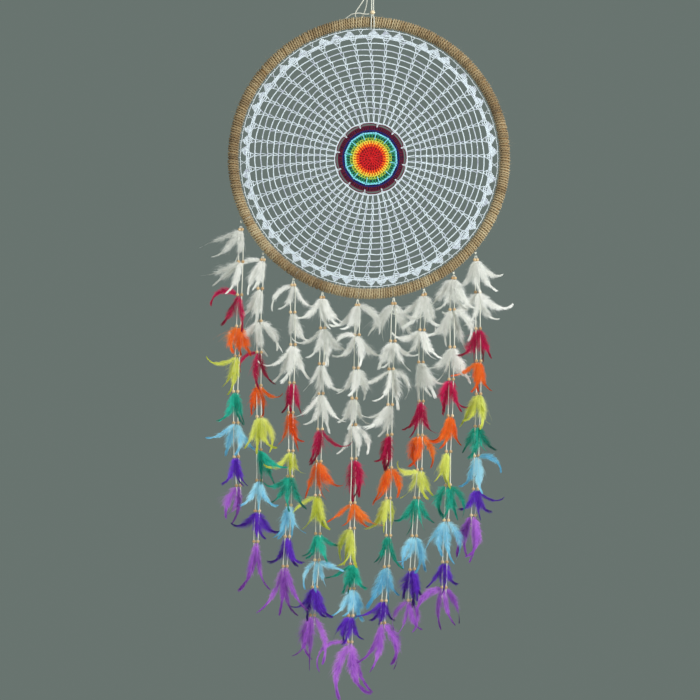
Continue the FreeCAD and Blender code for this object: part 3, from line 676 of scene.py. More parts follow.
def round_path(radii, turns, halves, rng):
    """One closed round: a short bar over each column and a slack chain between columns."""
    chain = np.linspace(0, 1, 12)
    points = []
    for column in range(COLUMNS):
        following = (column + 1) % COLUMNS
        left, right = turns[column] - halves[column], turns[column] + halves[column]
        after = turns[following] - halves[following] + (2 * np.pi if following == 0 else 0)
        points.append(on_web(radii[column], np.array([left, turns[column]]), -0.3 * MM))
        bow = rng.normal(0.25, 0.45) * CHAIN_SLACK
        span = radii[column] + (radii[following] - radii[column]) * chain + bow * np.sin(np.pi * chain)
        depth = rng.normal(0, 0.25 * MM) * np.sin(np.pi * chain)
        points.append(on_web(span, right + (after - right) * chain, depth))
    return np.concatenate(points)


def make_rounds():
    """The plaited rounds, and a ring inside the first one that the mandala's ties hold."""
    rng = np.random.default_rng(6)
    radii, turns, halves = web_nodes()
    shapes = [Shape(), Shape()]
    for index in range(ROUND_COUNT + 1):
        path = round_path(radii[index], turns[index], halves[index], rng)
        path = closed_line(path, 0.75 * MM)
        shape = shapes[0] if index < INNER_ROUNDS else shapes[1]
        tint = rng.uniform(0.35, 0.65)
        add_plait(shape, path, *ROUND_PLAIT, closed=True, tint=tint)
        if index == 0:
            inner = on_web(WEB_RING - 1.4 * MM, around(360))
            add_plies(shape, inner, *RING_THREAD, closed=True, tint=tint)
    for part, shape in zip(("inner", "outer"), shapes):
        make_piece(f"web_rounds_{part}", shape, "white_thread", "hoop", "web_rounds")


def make_posts():
    """Pairs of posts from the middle of each bar, spread to its outer ends, with a loop round each foot."""
    rng = np.random.default_rng(7)
    radii, turns, halves = web_nodes()
    shapes = [Shape(), Shape()]
    heads = Shape()
    ring = around(7)
    for index in range(ROUND_COUNT + 1):
        shape = shapes[0] if index < INNER_POSTS else shapes[1]
        for column in range(COLUMNS):
            for side in (-1, 1):
                apex_turn = turns[index, column] + 0.12 * side * halves[index, column]
                apex = on_web(radii[index, column], apex_turn, 0.35 * MM)
                foot_turn = turns[index + 1, column] + side * halves[index + 1, column]
                foot = on_web(radii[index + 1, column], foot_turn, 0.1 * MM)
                tint = rng.uniform(0.35, 0.65)
                add_plies(shape, bowed(apex, foot, 15, -0.25 * MM), *POST_THREAD, sides=4, tint=tint)
                if index < ROUND_COUNT:
                    outward = unit(foot - MIDDLE)
                    along = np.cross(outward, DEPTH)
                    out, up = np.cos(ring)[:, None], np.sin(ring)[:, None]
                    loop = foot + 0.75 * MM * (out * outward + up * DEPTH)
                    loop += 0.42 * MM * up * along
                    add_tubes(heads, loop, 0.34 * MM, 4, up=along, closed=True, tint=tint)
    for part, shape in zip(("inner", "outer"), shapes):
        make_piece(f"web_posts_{part}", shape, "white_thread", "hoop", "web_posts")

    for turn in petal_turns():
        for lean in (-1, 1):
            reach = np.linspace(BURGUNDY_VALLEY - 0.8 * MM, WEB_RING - 1.2 * MM, 12)
            widen = lean * np.linspace(0.25, 1.1, 12) * MM / reach
            tie = on_web(reach, turn + widen, -1.5 * MM * np.linspace(1, 0, 12))
            add_plies(heads, tie, *PETAL_TIE, tint=0.6)
    make_piece("web_heads", heads, "white_thread", "hoop", "web_posts")


def edge_turn(point):
    """Where a point of the edge stands, in radians clockwise from straight up."""
    return column_turn(EDGE_START + EDGE_STEP * point, EDGE_INNER)


def make_edge_band(rng):
    """The band of close stitches along the rim, arched between the columns."""
    band = Shape()
    radii, turns, _ = web_nodes()
    columns = np.concatenate([turns[-1] - 2 * np.pi, turns[-1], turns[-1] + 2 * np.pi])
    heights = np.tile(radii[-1], 3)

    def arch(turn):
        """The edge's lower side: low at each column's posts and arched between columns."""
        nearest = columns[np.abs(columns[:, None] - turn).argmin(axis=0)]
        away = np.abs(turn - nearest) * EDGE_INNER
        rise = np.clip((away - ARCH_SHELF) / ARCH_RISE, 0, 1) ** 0.7
        return np.interp(turn, columns, heights) + (EDGE_ARCH - EDGE_INNER) * rise

    circle = around(1440)
    lower = arch(circle)
    for share in (0.0, 0.5, 1.0):
        wave = lower + share * (EDGE_ROOT + 0.4 * MM - lower) + 0.12 * MM * np.sin(29 * circle + 5 * share)
        path = on_web(wave, circle, 0.2 * MM * (share - 0.5))
        path = closed_line(path, 0.8 * MM)
        add_plait(band, path, *BAND_PLAIT, closed=True, tint=0.5 + 0.1 * share)
    stitches = 9 * COLUMNS
    for stitch in range(stitches):
        turn = 2 * np.pi * (stitch + rng.uniform(-0.3, 0.3)) / stitches
        if rng.random() < 0.12:
            continue
        low = on_web(float(arch(np.array([turn]))[0]), turn - 0.5 * MM / EDGE_INNER, 0.3 * MM)
        high = on_web(EDGE_ROOT + 0.8 * MM, turn + 0.6 * MM / EDGE_INNER, 0.3 * MM)
        add_plies(band, bowed(low, high, 7), *EDGE_STITCH, sides=4, tint=rng.uniform(0.3, 0.7))
    make_piece("web_edge_band", band, "white_thread", "hoop", "web_edge")


def make_edge_points(rng):
    """The points that the stitches narrow to, in rows, with a crossed pair of threads at each fourth."""
    points = Shape()
    rows = 4
    for point in range(EDGE_POINTS):
        middle = edge_turn(point)
        if point % 4 == 0:
            for side in (-1, 1):
                far = edge_turn(point + 0.22 * side)
                low = on_web(EDGE_ROOT - 0.6 * MM, middle + 0.9 * (far - middle), 0.3 * side * MM)
                high = on_web(LACING, middle - 0.75 * (far - middle), 0.3 * side * MM)
                add_plies(points, bowed(low, high, 7), *EDGE_CROSS, sides=4)
            continue
        width = 0.5 * (edge_turn(point + 0.5) - edge_turn(point - 0.5)) * rng.uniform(0.96, 1.08)
        slip = rng.normal(0, 0.5 * MM) / EDGE_TIP
        for row in range(rows):
            radius = EDGE_ROOT + (row + 0.15) * (EDGE_TIP - EDGE_ROOT) / rows
            half = width * (1 - (row + 0.35) / rows) ** rng.uniform(0.55, 0.8)
            arc = np.linspace(-half, half, max(5, round(2 * half * radius / (0.8 * MM)))) + slip * row
            sag = rng.uniform(0.1, 0.5) * MM * (1 - ((arc - slip * row) / half) ** 2)
            path = on_web(radius + sag, middle + arc, rng.uniform(-0.2, 0.2) * MM)
            add_plait(points, path, *POINT_PLAIT, tint=rng.uniform(0.35, 0.7))
            for stitch in np.arange(-half * radius, half * radius, 1.7 * MM) / radius + slip * row:
                if rng.random() < 0.15:
                    continue
                low = on_web(radius - 0.7 * MM, middle + stitch, 0.35 * MM)
                high = on_web(radius + 1.5 * MM, middle + 0.8 * stitch, 0.35 * MM)
                add_tubes(points, bowed(low, high, 4), 0.36 * MM, 4, tint=rng.uniform(0.3, 0.6))
        tip = on_web(np.linspace(EDGE_TIP - 1.5 * MM, LACING + 0.3 * MM, 5), middle + 3 * slip)
        add_plies(points, tip, *EDGE_TIP_THREAD, sides=4)
    make_piece("web_edge_points", points, "white_thread", "hoop", "web_edge")


def make_lacing(rng):
    """The thread outside the points, and the short stays that hold it to the hoop."""
    lacing = Shape()
    loops = around(1500)
    reach = LACING + 0.5 * MM + 0.25 * MM * np.sin(EDGE_POINTS * loops + 1.0)
    add_plies(lacing, on_web(reach, loops), *LACING_THREAD, closed=True, tint=0.6)
    inside = HOOP_REACH - 2 * WRAP_RADIUS
    for point in range(2 * EDGE_POINTS):
        turn = edge_turn(point / 2) + rng.normal(0, 0.006)
        stay = on_web(np.linspace(LACING, inside + 0.5 * MM, 5), turn, 0.2 * MM)
        add_plies(lacing, stay, *LACING_STAY, sides=4)
    make_piece("web_lacing_thread", lacing, "white_thread", "hoop", "web_lacing")


# ---------------- mandala
# Each round of the mandala: colour, inner and outer radius, number of stitches.
MANDALA = [
    ("red", 1.5, 5.4, 8),
    ("red", 5.4, 9.6, 14),
    ("red", 9.6, 13.6, 21),
    ("red", 13.6, 17.8, 28),
    ("orange", 17.6, 21.6, 33),
    ("yellow", 21.4, 25.6, 39),
    ("lime", 25.6, 29.5, 45),
    ("green", 29.5, 34.6, 50),
    ("sky", 35.3, 37.4, 52),
    ("navy", 37.4, 40.4, 62),
]


def depth_of(points):
    """How far points are from the hoop's middle plane."""
    return np.abs(points[:, 1])


def add_backing(shape, inner, outer):
    """The dense middle of a round, which no light comes through, tinted 0.0 so that it shows the yarn's
    painted shade between the stitches.
    """
    turns = 2 * np.pi * np.arange(240) / 240
    depth = 0.35 * MM
    section = ((inner, -depth), (outer, -depth), (outer, depth), (inner, depth))
    add_rings(shape, np.stack([on_web(radius + 0 * turns, turns, y) for radius, y in section]), 0.0)


def add_stitches(shape, rng, inner, outer, count, thread, shift=0.0):
    """Radial stitches from an inner radius to an outer one, each hooked into the round before it."""
    for stitch in range(count):
        turn = 2 * np.pi * (stitch + shift + rng.uniform(-0.18, 0.18)) / count
        low = on_web(inner - 0.9 * MM, turn - 0.25 * MM / outer, -0.2 * MM)
        high = on_web(outer - 0.7 * MM, turn + 0.25 * MM / outer, 0.1 * MM)
        path = bowed(low, high, 7, 0.45 * MM)
        add_plies(shape, path, 0.8 * thread, 4.5 * MM, thread, tint=rng.uniform(0.2, 0.95))


def add_chain(shape, rng, radii, thread):
    """A closed chain through radii given all the way round."""
    circle = around(len(radii))
    path = closed_line(on_web(radii, circle, -0.55 * MM), 0.6 * MM)
    add_plait(shape, path, 0.85 * thread, 0.5 * thread, 0.72 * thread, 4.2 * MM, sides=5, closed=True,
              tint=rng.uniform(0.45, 0.7))


def petal_turns():
    """Where the twelve white ties stand, in radians clockwise from straight up."""
    return [2 * np.pi * petal / PETALS + math.radians(PETAL_TURN) for petal in range(PETALS)]


def petal_radius(turns):
    """The burgundy round's outline: twelve arcs between the white ties."""
    part = (turns - math.radians(PETAL_TURN)) * PETALS / (2 * np.pi) % 1
    return BURGUNDY_VALLEY + (BURGUNDY_TIP - BURGUNDY_VALLEY) * (1 - (2 * part - 1) ** 4) ** 0.6


def make_mandala():
    """The coloured rounds of stitches and chains, twelve pale ticks, and the burgundy petals."""
    rng = np.random.default_rng(9)
    shapes = {}
    circle = around(600)
    for number, (colour, inner, outer, count) in enumerate(MANDALA):
        shape = shapes.setdefault(colour, Shape())
        mean = (inner + outer) / 2 * MM
        thread = max(min(0.64 * MM, 0.3 * 2 * np.pi * mean / count / 1.4), 0.4 * MM)
        add_stitches(shape, rng, inner * MM, outer * MM, count, thread, shift=0.5 * (number % 2))
        add_backing(shape, (inner - 0.6) * MM, (outer - 0.4) * MM)
        if colour == "sky":
            sides = np.pi / PETALS
            corner = (circle - math.radians(PETAL_TURN)) % (2 * sides) - sides
            add_chain(shape, rng, (outer - 0.2) * MM * math.cos(sides) / np.cos(corner), 0.72 * MM)
        else:
            add_chain(shape, rng, (outer - 0.5) * MM + 0.15 * MM * np.sin(count * circle), 0.48 * MM)
    add_chain(shapes["red"], rng, np.full(40, 1.5 * MM), 0.5 * MM)

    for turn in petal_turns():
        path = on_web(np.linspace(27.5, 36.4, 16) * MM, turn + rng.normal(0, 0.008), -1.35 * MM)
        add_plies(shapes["sky"], path, *TICK_THREAD, tint=0.75)

    shape = shapes["burgundy"] = Shape()
    count = 9 * PETALS
    for stitch in range(count):
        turn = 2 * np.pi * (stitch + 0.5 + rng.uniform(-0.15, 0.15)) / count + math.radians(PETAL_TURN)
        low = on_web(NAVY_RIM - 0.5 * MM, turn, -0.2 * MM)
        bulge = 0.1 * (petal_radius(turn) - BURGUNDY_VALLEY)
        high = on_web(BURGUNDY_VALLEY - 0.2 * MM + bulge, turn + 0.01 * rng.normal(), 0.1 * MM)
        path = bowed(low, high, 10, 0.4 * MM)
        add_plies(shape, path, *PETAL_STITCH, tint=rng.uniform(0.2, 0.8))
    add_backing(shape, NAVY_RIM, BURGUNDY_VALLEY)
    rim = petal_radius(circle)
    add_chain(shape, rng, BURGUNDY_VALLEY + 0.1 * (rim - BURGUNDY_VALLEY), 0.55 * MM)
    add_chain(shape, rng, rim, 0.5 * MM)

    for colour, shape in shapes.items():
        # Painted shade where the threads lie deep and painted highlight on their crowns.
        paint_shade_and_highlight(shape, depth_of, 0.1 * MM, 1.3 * MM, 0.9)
        make_piece("crochet_" + colour, shape, "yarn_" + colour, "hoop", "mandala_" + colour)


# ---------------- cords
def spline_points(name, route):
    """Points read from the smooth NURBS line that a route's points control."""
    curve = bpy.data.curves.new(name + "_route", "CURVE")
    curve.dimensions = "3D"
    curve.resolution_u = 24
    spline = curve.splines.new("NURBS")
    spline.points.add(len(route) - 1)
    for point, place in zip(spline.points, route):
        point.co = (*place, 1.0)
    spline.order_u = 3
    spline.use_endpoint_u = True
    guide = bpy.data.objects.new(name + "_route", curve)
    mesh = bpy.data.meshes.new_from_object(guide)
    points = np.array([vertex.co for vertex in mesh.vertices], float)
    bpy.data.meshes.remove(mesh)
    bpy.data.objects.remove(guide)
    return points


def make_cord(name, route, radius, body, node):
    """Three plies twisted along a route's smooth line. Returns the piece and the line."""
    line = spline_points(name, route)
    path = resample(line, 0.55 * MM)
    shape = Shape()
    add_plies(shape, path, 0.47 * radius, 5.2 * radius, 0.56 * radius, plies=3, sides=4, up=(0.02, 1.0, 0.05))
    piece = make_piece(name, shape, "cream_cotton", body, node)
    return piece, resample(line, 1.2 * MM)


def add_knot(shape, middle, reach, thread, tilt=0.0):
    """An overhand knot pulled tight: a trefoil of two-ply cord."""
    turns = around(60)
    across = np.sin(turns) + 2 * np.sin(2 * turns)
    up = np.cos(turns) - 2 * np.cos(2 * turns)
    depth = -np.sin(3 * turns)
    size = (reach - thread) / 3
    path = np.stack([across * math.cos(tilt) - up * math.sin(tilt), 1.35 * depth,
                     across * math.sin(tilt) + up * math.cos(tilt)], axis=-1)
    add_plies(shape, middle + size * path, 0.45 * thread, 5 * thread, 0.6 * thread, closed=True)


def add_frays(shape, rng, end, direction, radius, count, reach):
    """Loose fibres at a cut end."""
    share = np.linspace(0, 1, 5)[None, :, None]
    start = end + rng.normal(0, 0.35 * radius, (count, 3))
    lean = unit(direction + rng.normal(0, 0.3, (count, 3)))
    bend = rng.normal(0, 0.35, (count, 3))
    length = rng.uniform(0.5, 1.0, count)[:, None, None] * reach
    paths = start[:, None] + length * (share * lean[:, None] + share**2 * bend[:, None])
    add_tubes(shape, paths, 0.09 * MM * (1 - 0.5 * share[..., 0]), 3, up=(0.3, 0.9, 0.2))


def bead_profile(radius, bore):
    """Half the section of a turned bead: pairs of distance from its axis and height, up the outside."""
    low = math.asin(bore / radius)
    angles = np.linspace(low + 0.12, math.pi - low - 0.12, 15)
    outside = [(radius * math.sin(a), -radius * math.cos(a)) for a in angles]
    rim = radius * math.cos(low)
    chamfer = [(bore + 0.12 * MM, rim - 0.02 * MM), (bore, rim - 0.35 * MM), (bore, -rim + 0.35 * MM),
               (bore + 0.12 * MM, -rim + 0.02 * MM)]
    return np.array(outside + chamfer)


def add_bead(shape, middle, axis, radius, bore, tint):
    """A turned bead whose bore follows the axis."""
    profile = bead_profile(radius, bore)
    axis = unit(np.asarray(axis, float))
    side = unit(np.cross(axis, DEPTH))
    front = np.cross(side, axis)
    turns = 2 * np.pi * np.arange(24) / 24
    out = np.cos(turns)[:, None] * side + np.sin(turns)[:, None] * front
    add_rings(shape, middle + profile[:, None, :1] * out[None] + profile[:, None, 1:] * axis, tint)


def make_hanger():
    """The loop on the nail, its knot, two taut cords, a bead, the sling round the hoop and the loose ends."""
    rng = np.random.default_rng(21)
    top = np.array([0.0, 0.0, 0.0])
    knot = top - [0, 0, 2 * EYE_RADIUS + KNOT_RADIUS]
    cord_top = knot[2] - KNOT_RADIUS - 0.3 * MM
    hoop_top = MIDDLE[2] + TUBE_MIDDLE
    sling_radius = WRAP_RADIUS + 0.3 * MM + HANGER_CORD
    cord_bottom = hoop_top + sling_radius + HANGER_CORD + 0.1 * MM
    for name, side in (("left", -HANGER_GAP), ("right", HANGER_GAP)):
        heights = (cord_top, cord_top - 8 * MM, cord_bottom + 8 * MM, cord_bottom)
        route = [(side, 0, height) for height in heights]
        piece, line = make_cord("hanging_cord_" + name, route, HANGER_CORD, "hanger_line", "hanger_cords")

    lengths = (0.052, 0.045, 0.046)
    frays = Shape()
    for number, (route, length) in enumerate(zip(TAIL_ROUTES, lengths), start=1):
        name = f"loose_end_{number}"
        piece, line = make_cord(name, route, HANGER_CORD, "hanger_line", "hanger_tails")
        add_frays(frays, rng, line[-1], unit(line[-1] - line[-3]), HANGER_CORD, 26, 5 * MM)
    make_piece("loose_end_fibres", frays, "cream_cotton", "hanger_line")

    turns = around(48)
    loop = Shape()
    eye = top + [0, 0, HANGER_CORD - EYE_RADIUS]
    circle = eye + EYE_RADIUS * np.stack([np.sin(turns), 0 * turns, np.cos(turns)], axis=-1)
    add_plies(loop, circle, *HANGER_LAY, plies=3, closed=True)
    make_piece("nail_loop", loop, "cream_cotton", "hanger_eye", "hanger_loop")
    tied = Shape()
    add_knot(tied, knot, KNOT_RADIUS, HANGER_CORD)
    make_piece("nail_knot", tied, "cream_cotton", "hanger_eye", "hanger_knot")

    bead = Shape()
    add_bead(bead, np.array([0, 0, -BEAD_HEIGHT]), (0, 0, 1), 3.4 * MM, 2.3 * MM, 1.0)
    make_piece("hanging_bead", bead, "bead_wood", "hanger_line", "hanger_bead")

    sling = Shape()
    for side in (-HANGER_GAP, HANGER_GAP):
        middle = np.array([1.5 * side, 0, hoop_top])
        lean = np.stack([-0.5 * side * np.maximum(np.cos(turns), 0), 0 * turns, 0 * turns], axis=-1)
        loop = middle + sling_radius * np.stack([0 * turns, np.sin(turns), np.cos(turns)], axis=-1) + lean
        add_plies(sling, closed_line(loop, 0.6 * MM), *HANGER_LAY, plies=3, up=(1, 0, 0), closed=True)
    add_knot(sling, np.array([0, 0.0, cord_bottom - 0.2 * MM]), 2.6 * MM, 0.75 * HANGER_CORD, tilt=0.5)
    make_piece("hoop_sling", sling, "cream_cotton", "hanger_line", "hanger_sling")


TIE_SHARE = 0.25  # how far apart the two cords are at the tie, as a share of their gap
# Length of each strand's two cords, from the tie to the end.
LEG_LENGTHS = (0.381, 0.417, 0.418, 0.468, 0.496, 0.472, 0.452, 0.456, 0.381)


def leg_route(levels, side):
    """The points that one cord of a strand hangs through."""
    first_x, last_x, last_drop = levels[0][0], levels[-1][0], levels[-1][1]
    tie_drop = math.sqrt(STRAND_REACH**2 - (abs(first_x) - LEG_GAP) ** 2)
    below = levels[0][1] + 3 * MM
    route = [(first_x + TIE_SHARE * side, -tie_drop), (first_x + 1.05 * side, -below)]
    route += [(level[0] + side, -level[1]) for level in levels[1:]]
    route.append((last_x + TAIL_SHARE * side, -last_drop - TAIL_LENGTH))
    return [(MIDDLE[0] + x, 0.0, MIDDLE[2] + z) for x, z in route]


def make_strands():
    """The two cords of every strand, their end knots and frays, and two beads at each level."""
    rng = np.random.default_rng(31)
    for number, (levels, length) in enumerate(zip(STRANDS, LEG_LENGTHS), start=1):
        body = f"strand_{number}"
        beads = Shape()
        for side_name, side in (("left", -LEG_GAP), ("right", LEG_GAP)):
            name = f"{body}_cord_{side_name}"
            route = leg_route(levels, side)
            piece, line = make_cord(name, route, LEG_RADIUS, body, body + "_cords")
            ends = Shape()
            down = unit(line[-1] - line[-4])
            add_knot(ends, line[-1] - 1.5 * MM * down, 1.9 * MM, 0.6 * MM, tilt=rng.uniform(0, 3))
            add_frays(ends, rng, line[-1], down, LEG_RADIUS, 12, 3 * MM)
            knot = make_piece(name + "_knot", ends, "cream_cotton", body)
            for x, drop, *_ in levels:
                wanted = MIDDLE + [x + side, 0, -drop]
                nearest = int(np.argmin(np.linalg.norm(line - wanted, axis=1)))
                nearest = min(max(nearest, 2), len(line) - 3)
                axis = unit(line[nearest + 2] - line[nearest - 2]) + rng.normal(0, 0.05, 3)
                add_bead(beads, line[nearest], axis, BEAD_RADIUS * rng.uniform(0.95, 1.0), 1.05 * MM,
                         rng.uniform(0.3, 0.7))
        make_piece(body + "_wooden_beads", beads, "bead_wood", body, body + "_beads")


# ---------------- feathers
ROOM = 2.0 * MM  # that a feather of unchanged length leaves before the next level's beads
STRETCH = 1.1  # how much longer it may be than that
LEAST_DROP = 0.3  # the least cosine of a lean that this is reckoned with
DEEPEST = 27.0 * MM  # how far a feather may stand out of the strand's plane
GATHERED = 0.56  # how much of its lean a dyed feather keeps when it hangs in the bunch
SHORTEST = 14.0 * MM
HOOP_ROOM = 4.0 * MM  # between a feather's tip and the hoop
BARB_PITCH = 0.25 * MM
BARB_STEPS = 7
DOWN_STEPS = 5
DOWN_COUNT = {"white": 520, "dyed": 260}  # wisps of down along the lower part of a feather
WIDEST = {"white": 7.0 * MM, "dyed": 6.8 * MM}  # the largest half width, which VANE_WIDTH multiplies
FLUFF = {"white": (0.5, 1.0), "dyed": (0.3, 0.9)}
LANES = ((3.4 * MM, 5), (5.3 * MM, 11))  # how far out of the strand's plane, and degrees of splay
SPREAD = 45  # degrees of lean from which a feather stands clear of its bunch
FLAT_OUT = 80  # degrees of lean from which it is also made shorter
# Along a feather from its root (0) to its tip (1): the places, and the value at each of them.
VANE_WIDTH = (0, 0.1, 0.25, 0.4, 0.55, 0.7, 0.85, 1), (0.55, 1.05, 1.25, 1.1, 0.66, 0.38, 0.27, 0.08)
BLUNT_TIP = (0.7, 0.85, 0.96, 1), (0, 1, 0.8, 0)
LOOSENESS = (0, 0.4, 0.65, 1), (1.1, 0.85, 0.2, 0.05)
BARB_SLANT = (0, 0.25, 0.6, 1), (1.15, 0.85, 0.6, 0.22)
BARB_WIDTH = (0, 0.45, 1), (0.2, 0.13, 0.02)  # in millimetres, along a single barb
RIB_RADIUS = (0, 0.15, 1), (0.34, 0.4, 0.06)  # in millimetres
# How likely a feather is to sweep up at its tip, to hang plainly or to bow.
HABITS = {"white": (0.55, 0.32, 0.13), "purple": (0.25, 0.4, 0.35), "dyed": (0.4, 0.48, 0.12)}


def pressed(points):
    """The points drawn softly in towards the strand's plane."""
    points = points.copy()
    points[..., 1] = DEEPEST * np.tanh(points[..., 1] / DEEPEST)
    return points


def add_ribbons(shape, paths, half_widths, normal, tint):
    """Flat strips along paths (m, n, 3) that face the normal."""
    paths = pressed(paths)
    count, steps = paths.shape[:2]
    tangents = unit(np.gradient(paths, axis=1))
    across = unit(np.cross(tangents, normal)) * half_widths[..., None]
    points = np.stack([paths - across, paths + across], axis=2)
    first = (np.arange(count)[:, None] * steps + np.arange(steps - 1)[None]) * 2
    faces = np.stack([first, first + 1, first + 3, first + 2], axis=-1)
    tints = np.broadcast_to(np.asarray(tint)[..., None], (count, steps, 2))
    shape.add(points.reshape(-1, 3), faces.reshape(-1, 4), tints.ravel())


def rachis_line(rng, root, lean, habit, length, side, lane, splay):
    """The feather's middle rib: it leaves the bead, leans, curls and splays out of the strand's plane."""
    share = np.linspace(0, 1, 25)
    away = math.copysign(1, lean)
    if habit == "sweep":  # the tip turns up and away from the strand
        angle = lean * (0.65 + 0.55 * share) + away * rng.uniform(0.5, 1.6) * share**2.6
    elif habit == "bow":  # the middle bulges out and the tip comes back
        angle = lean * (1.6 - 1.4 * share) + away * (0.3 - rng.uniform(0.5, 1.1) * share**1.5)
    else:
        angle = lean * (0.8 + 0.35 * share) + rng.normal(0, 0.5) * share**2
    angle = angle + rng.normal(0, 0.05)
    step = length / 24
    x = np.concatenate([[0], np.cumsum(np.sin((angle[1:] + angle[:-1]) / 2))]) * step
    z = -np.concatenate([[0], np.cumsum(np.cos((angle[1:] + angle[:-1]) / 2))]) * step
    ease = np.clip(share * length / (11 * MM), 0, 1)
    reach = 1.4 * MM + (lane - 1.4 * MM) * ease * ease * (3 - 2 * ease)
    reach = reach + math.sin(splay) * length * (share + rng.normal(0, 0.3) * share**2)
    return root + np.stack([x, side * reach, z], axis=-1), share


def add_feather(shape, rng, root, lean, habit, length, half_width, side, lane, splay, tone, fluff, dyed):
    """One loose feather: rib, two vanes of soft barbs, and down at its base."""
    rib, share = rachis_line(rng, root, lean, habit, length, side, lane, splay)
    tangent = unit(np.gradient(rib, axis=0))
    roll = np.clip(rng.normal(0, 0.5), -1.0, 1.0) + rng.normal(0, 0.8) * share[:, None] ** 1.5
    flat = unit(np.cross(tangent, DEPTH))
    normal = unit(np.cross(flat, tangent))
    across = np.cos(roll) * flat + np.sin(roll) * normal
    normal = unit(np.cross(across, tangent))

    def at(values, places):
        return np.stack([np.interp(places, share, values[:, axis]) for axis in range(3)], axis=-1)

    add_tubes(shape, pressed(rib), np.interp(share, *RIB_RADIUS) * MM, 4, tint=tone + 0.3)
    steps = np.linspace(0, 1, BARB_STEPS)
    cup = rng.uniform(0.0, 0.35)
    blunt = rng.uniform(0.02, 0.26)
    for hand in (-1, 1):
        barbs = int(length / BARB_PITCH)
        place = (np.linspace(0.06, 0.99, barbs) + rng.normal(0, 0.004, barbs)).clip(0.04, 0.995)
        clumps = np.cumsum(rng.random(barbs) < 0.1)
        count = clumps[-1] + 1
        wide = half_width * rng.uniform(0.85, 1.1)
        width = wide * np.interp(place, *VANE_WIDTH)
        width = width + wide * blunt * np.interp(place, *BLUNT_TIP)
        loose = np.interp(place, *LOOSENESS) * (0.6 + 1.1 * fluff)
        pulled = 1 + loose * (rng.normal(-0.08, 0.14, count)[clumps] + rng.exponential(0.2, barbs) - 0.1)
        slant = np.interp(place, *BARB_SLANT)
        slant = slant + rng.normal(0, 0.09, count)[clumps] + rng.normal(0, 0.15, barbs) * loose
        reach = width * pulled / np.sin(np.clip(0.85 * slant, 0.3, 1.4))
        bend = slant[:, None] * (1.25 - 0.75 * steps[None])
        step = reach[:, None] / (BARB_STEPS - 1)
        start = np.zeros((barbs, 1))
        out = np.concatenate([start, np.cumsum(np.sin(bend[:, 1:]) * step, axis=1)], axis=1)
        on = np.concatenate([start, np.cumsum(np.cos(bend[:, 1:]) * step, axis=1)], axis=1)
        wave = (loose * (rng.normal(0, 0.14, count)[clumps] + rng.normal(0, 0.18, barbs)))[:, None]
        lift = cup * out**2 / half_width + wave * out * steps[None]
        p, t, a, n = (at(values, place)[:, None] for values in (rib, tangent, across, normal))
        paths = p + hand * out[..., None] * a + on[..., None] * t + lift[..., None] * n
        wander = rng.normal(0, 1, (barbs, 1, 3)) * loose[:, None, None]
        paths += wander * (0.13 * half_width * np.sin(3.2 * steps) * steps)[None, :, None]
        sums = np.stack([np.bincount(clumps, paths[:, -1, axis], count) for axis in range(3)], axis=-1)
        tips = sums / np.maximum(np.bincount(clumps, minlength=count), 1)[:, None]
        paths += 0.28 * (steps**2)[None, :, None] * (tips[clumps] - paths[:, -1])[:, None]
        thin = 1 - 0.35 * np.clip(fluff * np.interp(place, [0, 0.6, 1], [1.4, 1.0, 0.5]), 0, 1)
        widths = np.interp(steps, *BARB_WIDTH)[None] * MM * thin[:, None]
        shade = tone + rng.normal(0, 0.05, count)[clumps][:, None] + rng.normal(0, 0.04, barbs)[:, None]
        shade = shade + 0.2 * (steps[None] - 0.45)
        shade = shade + np.interp(place, [0, 0.3, 0.65, 1], [0.22, 0.0, 0.0, -0.34 if dyed else 0.1])[:, None]
        add_ribbons(shape, paths, widths, n, shade)

    down = DOWN_COUNT["dyed" if dyed else "white"]
    place = 0.6 * rng.random(down) ** 1.1
    spin = rng.normal(0, 0.75, down) + np.where(rng.random(down) < 0.5, 0, np.pi)
    p, t, a, n = (at(values, place) for values in (rib, tangent, across, normal))
    out = np.cos(spin)[:, None] * a + 0.7 * np.sin(spin)[:, None] * n
    reach = half_width * rng.uniform(0.7, 1.35, down)[:, None, None]
    slant = rng.uniform(0.2, 1.3, down)[:, None, None]
    steps = np.linspace(0, 1, DOWN_STEPS)[None, :, None]
    curl_way = unit(rng.normal(0, 1, (down, 3)))[:, None]
    straight = steps * unit(out[:, None] + slant * t[:, None])
    curled = 0.2 * np.sin(3 * steps) * steps * curl_way
    paths = p[:, None] + reach * (straight + 0.4 * steps**2 * t[:, None] + curled)
    widths = (0.085 - 0.055 * steps[..., 0]) * MM * np.ones((down, 1))
    add_ribbons(shape, paths, widths, unit(normal[0] + 0.6 * curl_way),
                tone + 0.24 + 0.1 * steps[..., 0] + rng.normal(0, 0.06, (down, 1)))


def feather_length(x, drop, lean, length, next_drop):
    """The length, cut to end near the next level's beads and then until the tip is clear of the hoop."""
    if next_drop:
        length = min(length, STRETCH * (next_drop - drop - ROOM) / max(math.cos(lean), LEAST_DROP))
    while length > SHORTEST:
        tip = math.hypot(x + length * math.sin(lean), drop + length * math.cos(lean))
        if tip > HOOP_REACH + HOOP_ROOM:
            break
        length -= MM
    return length


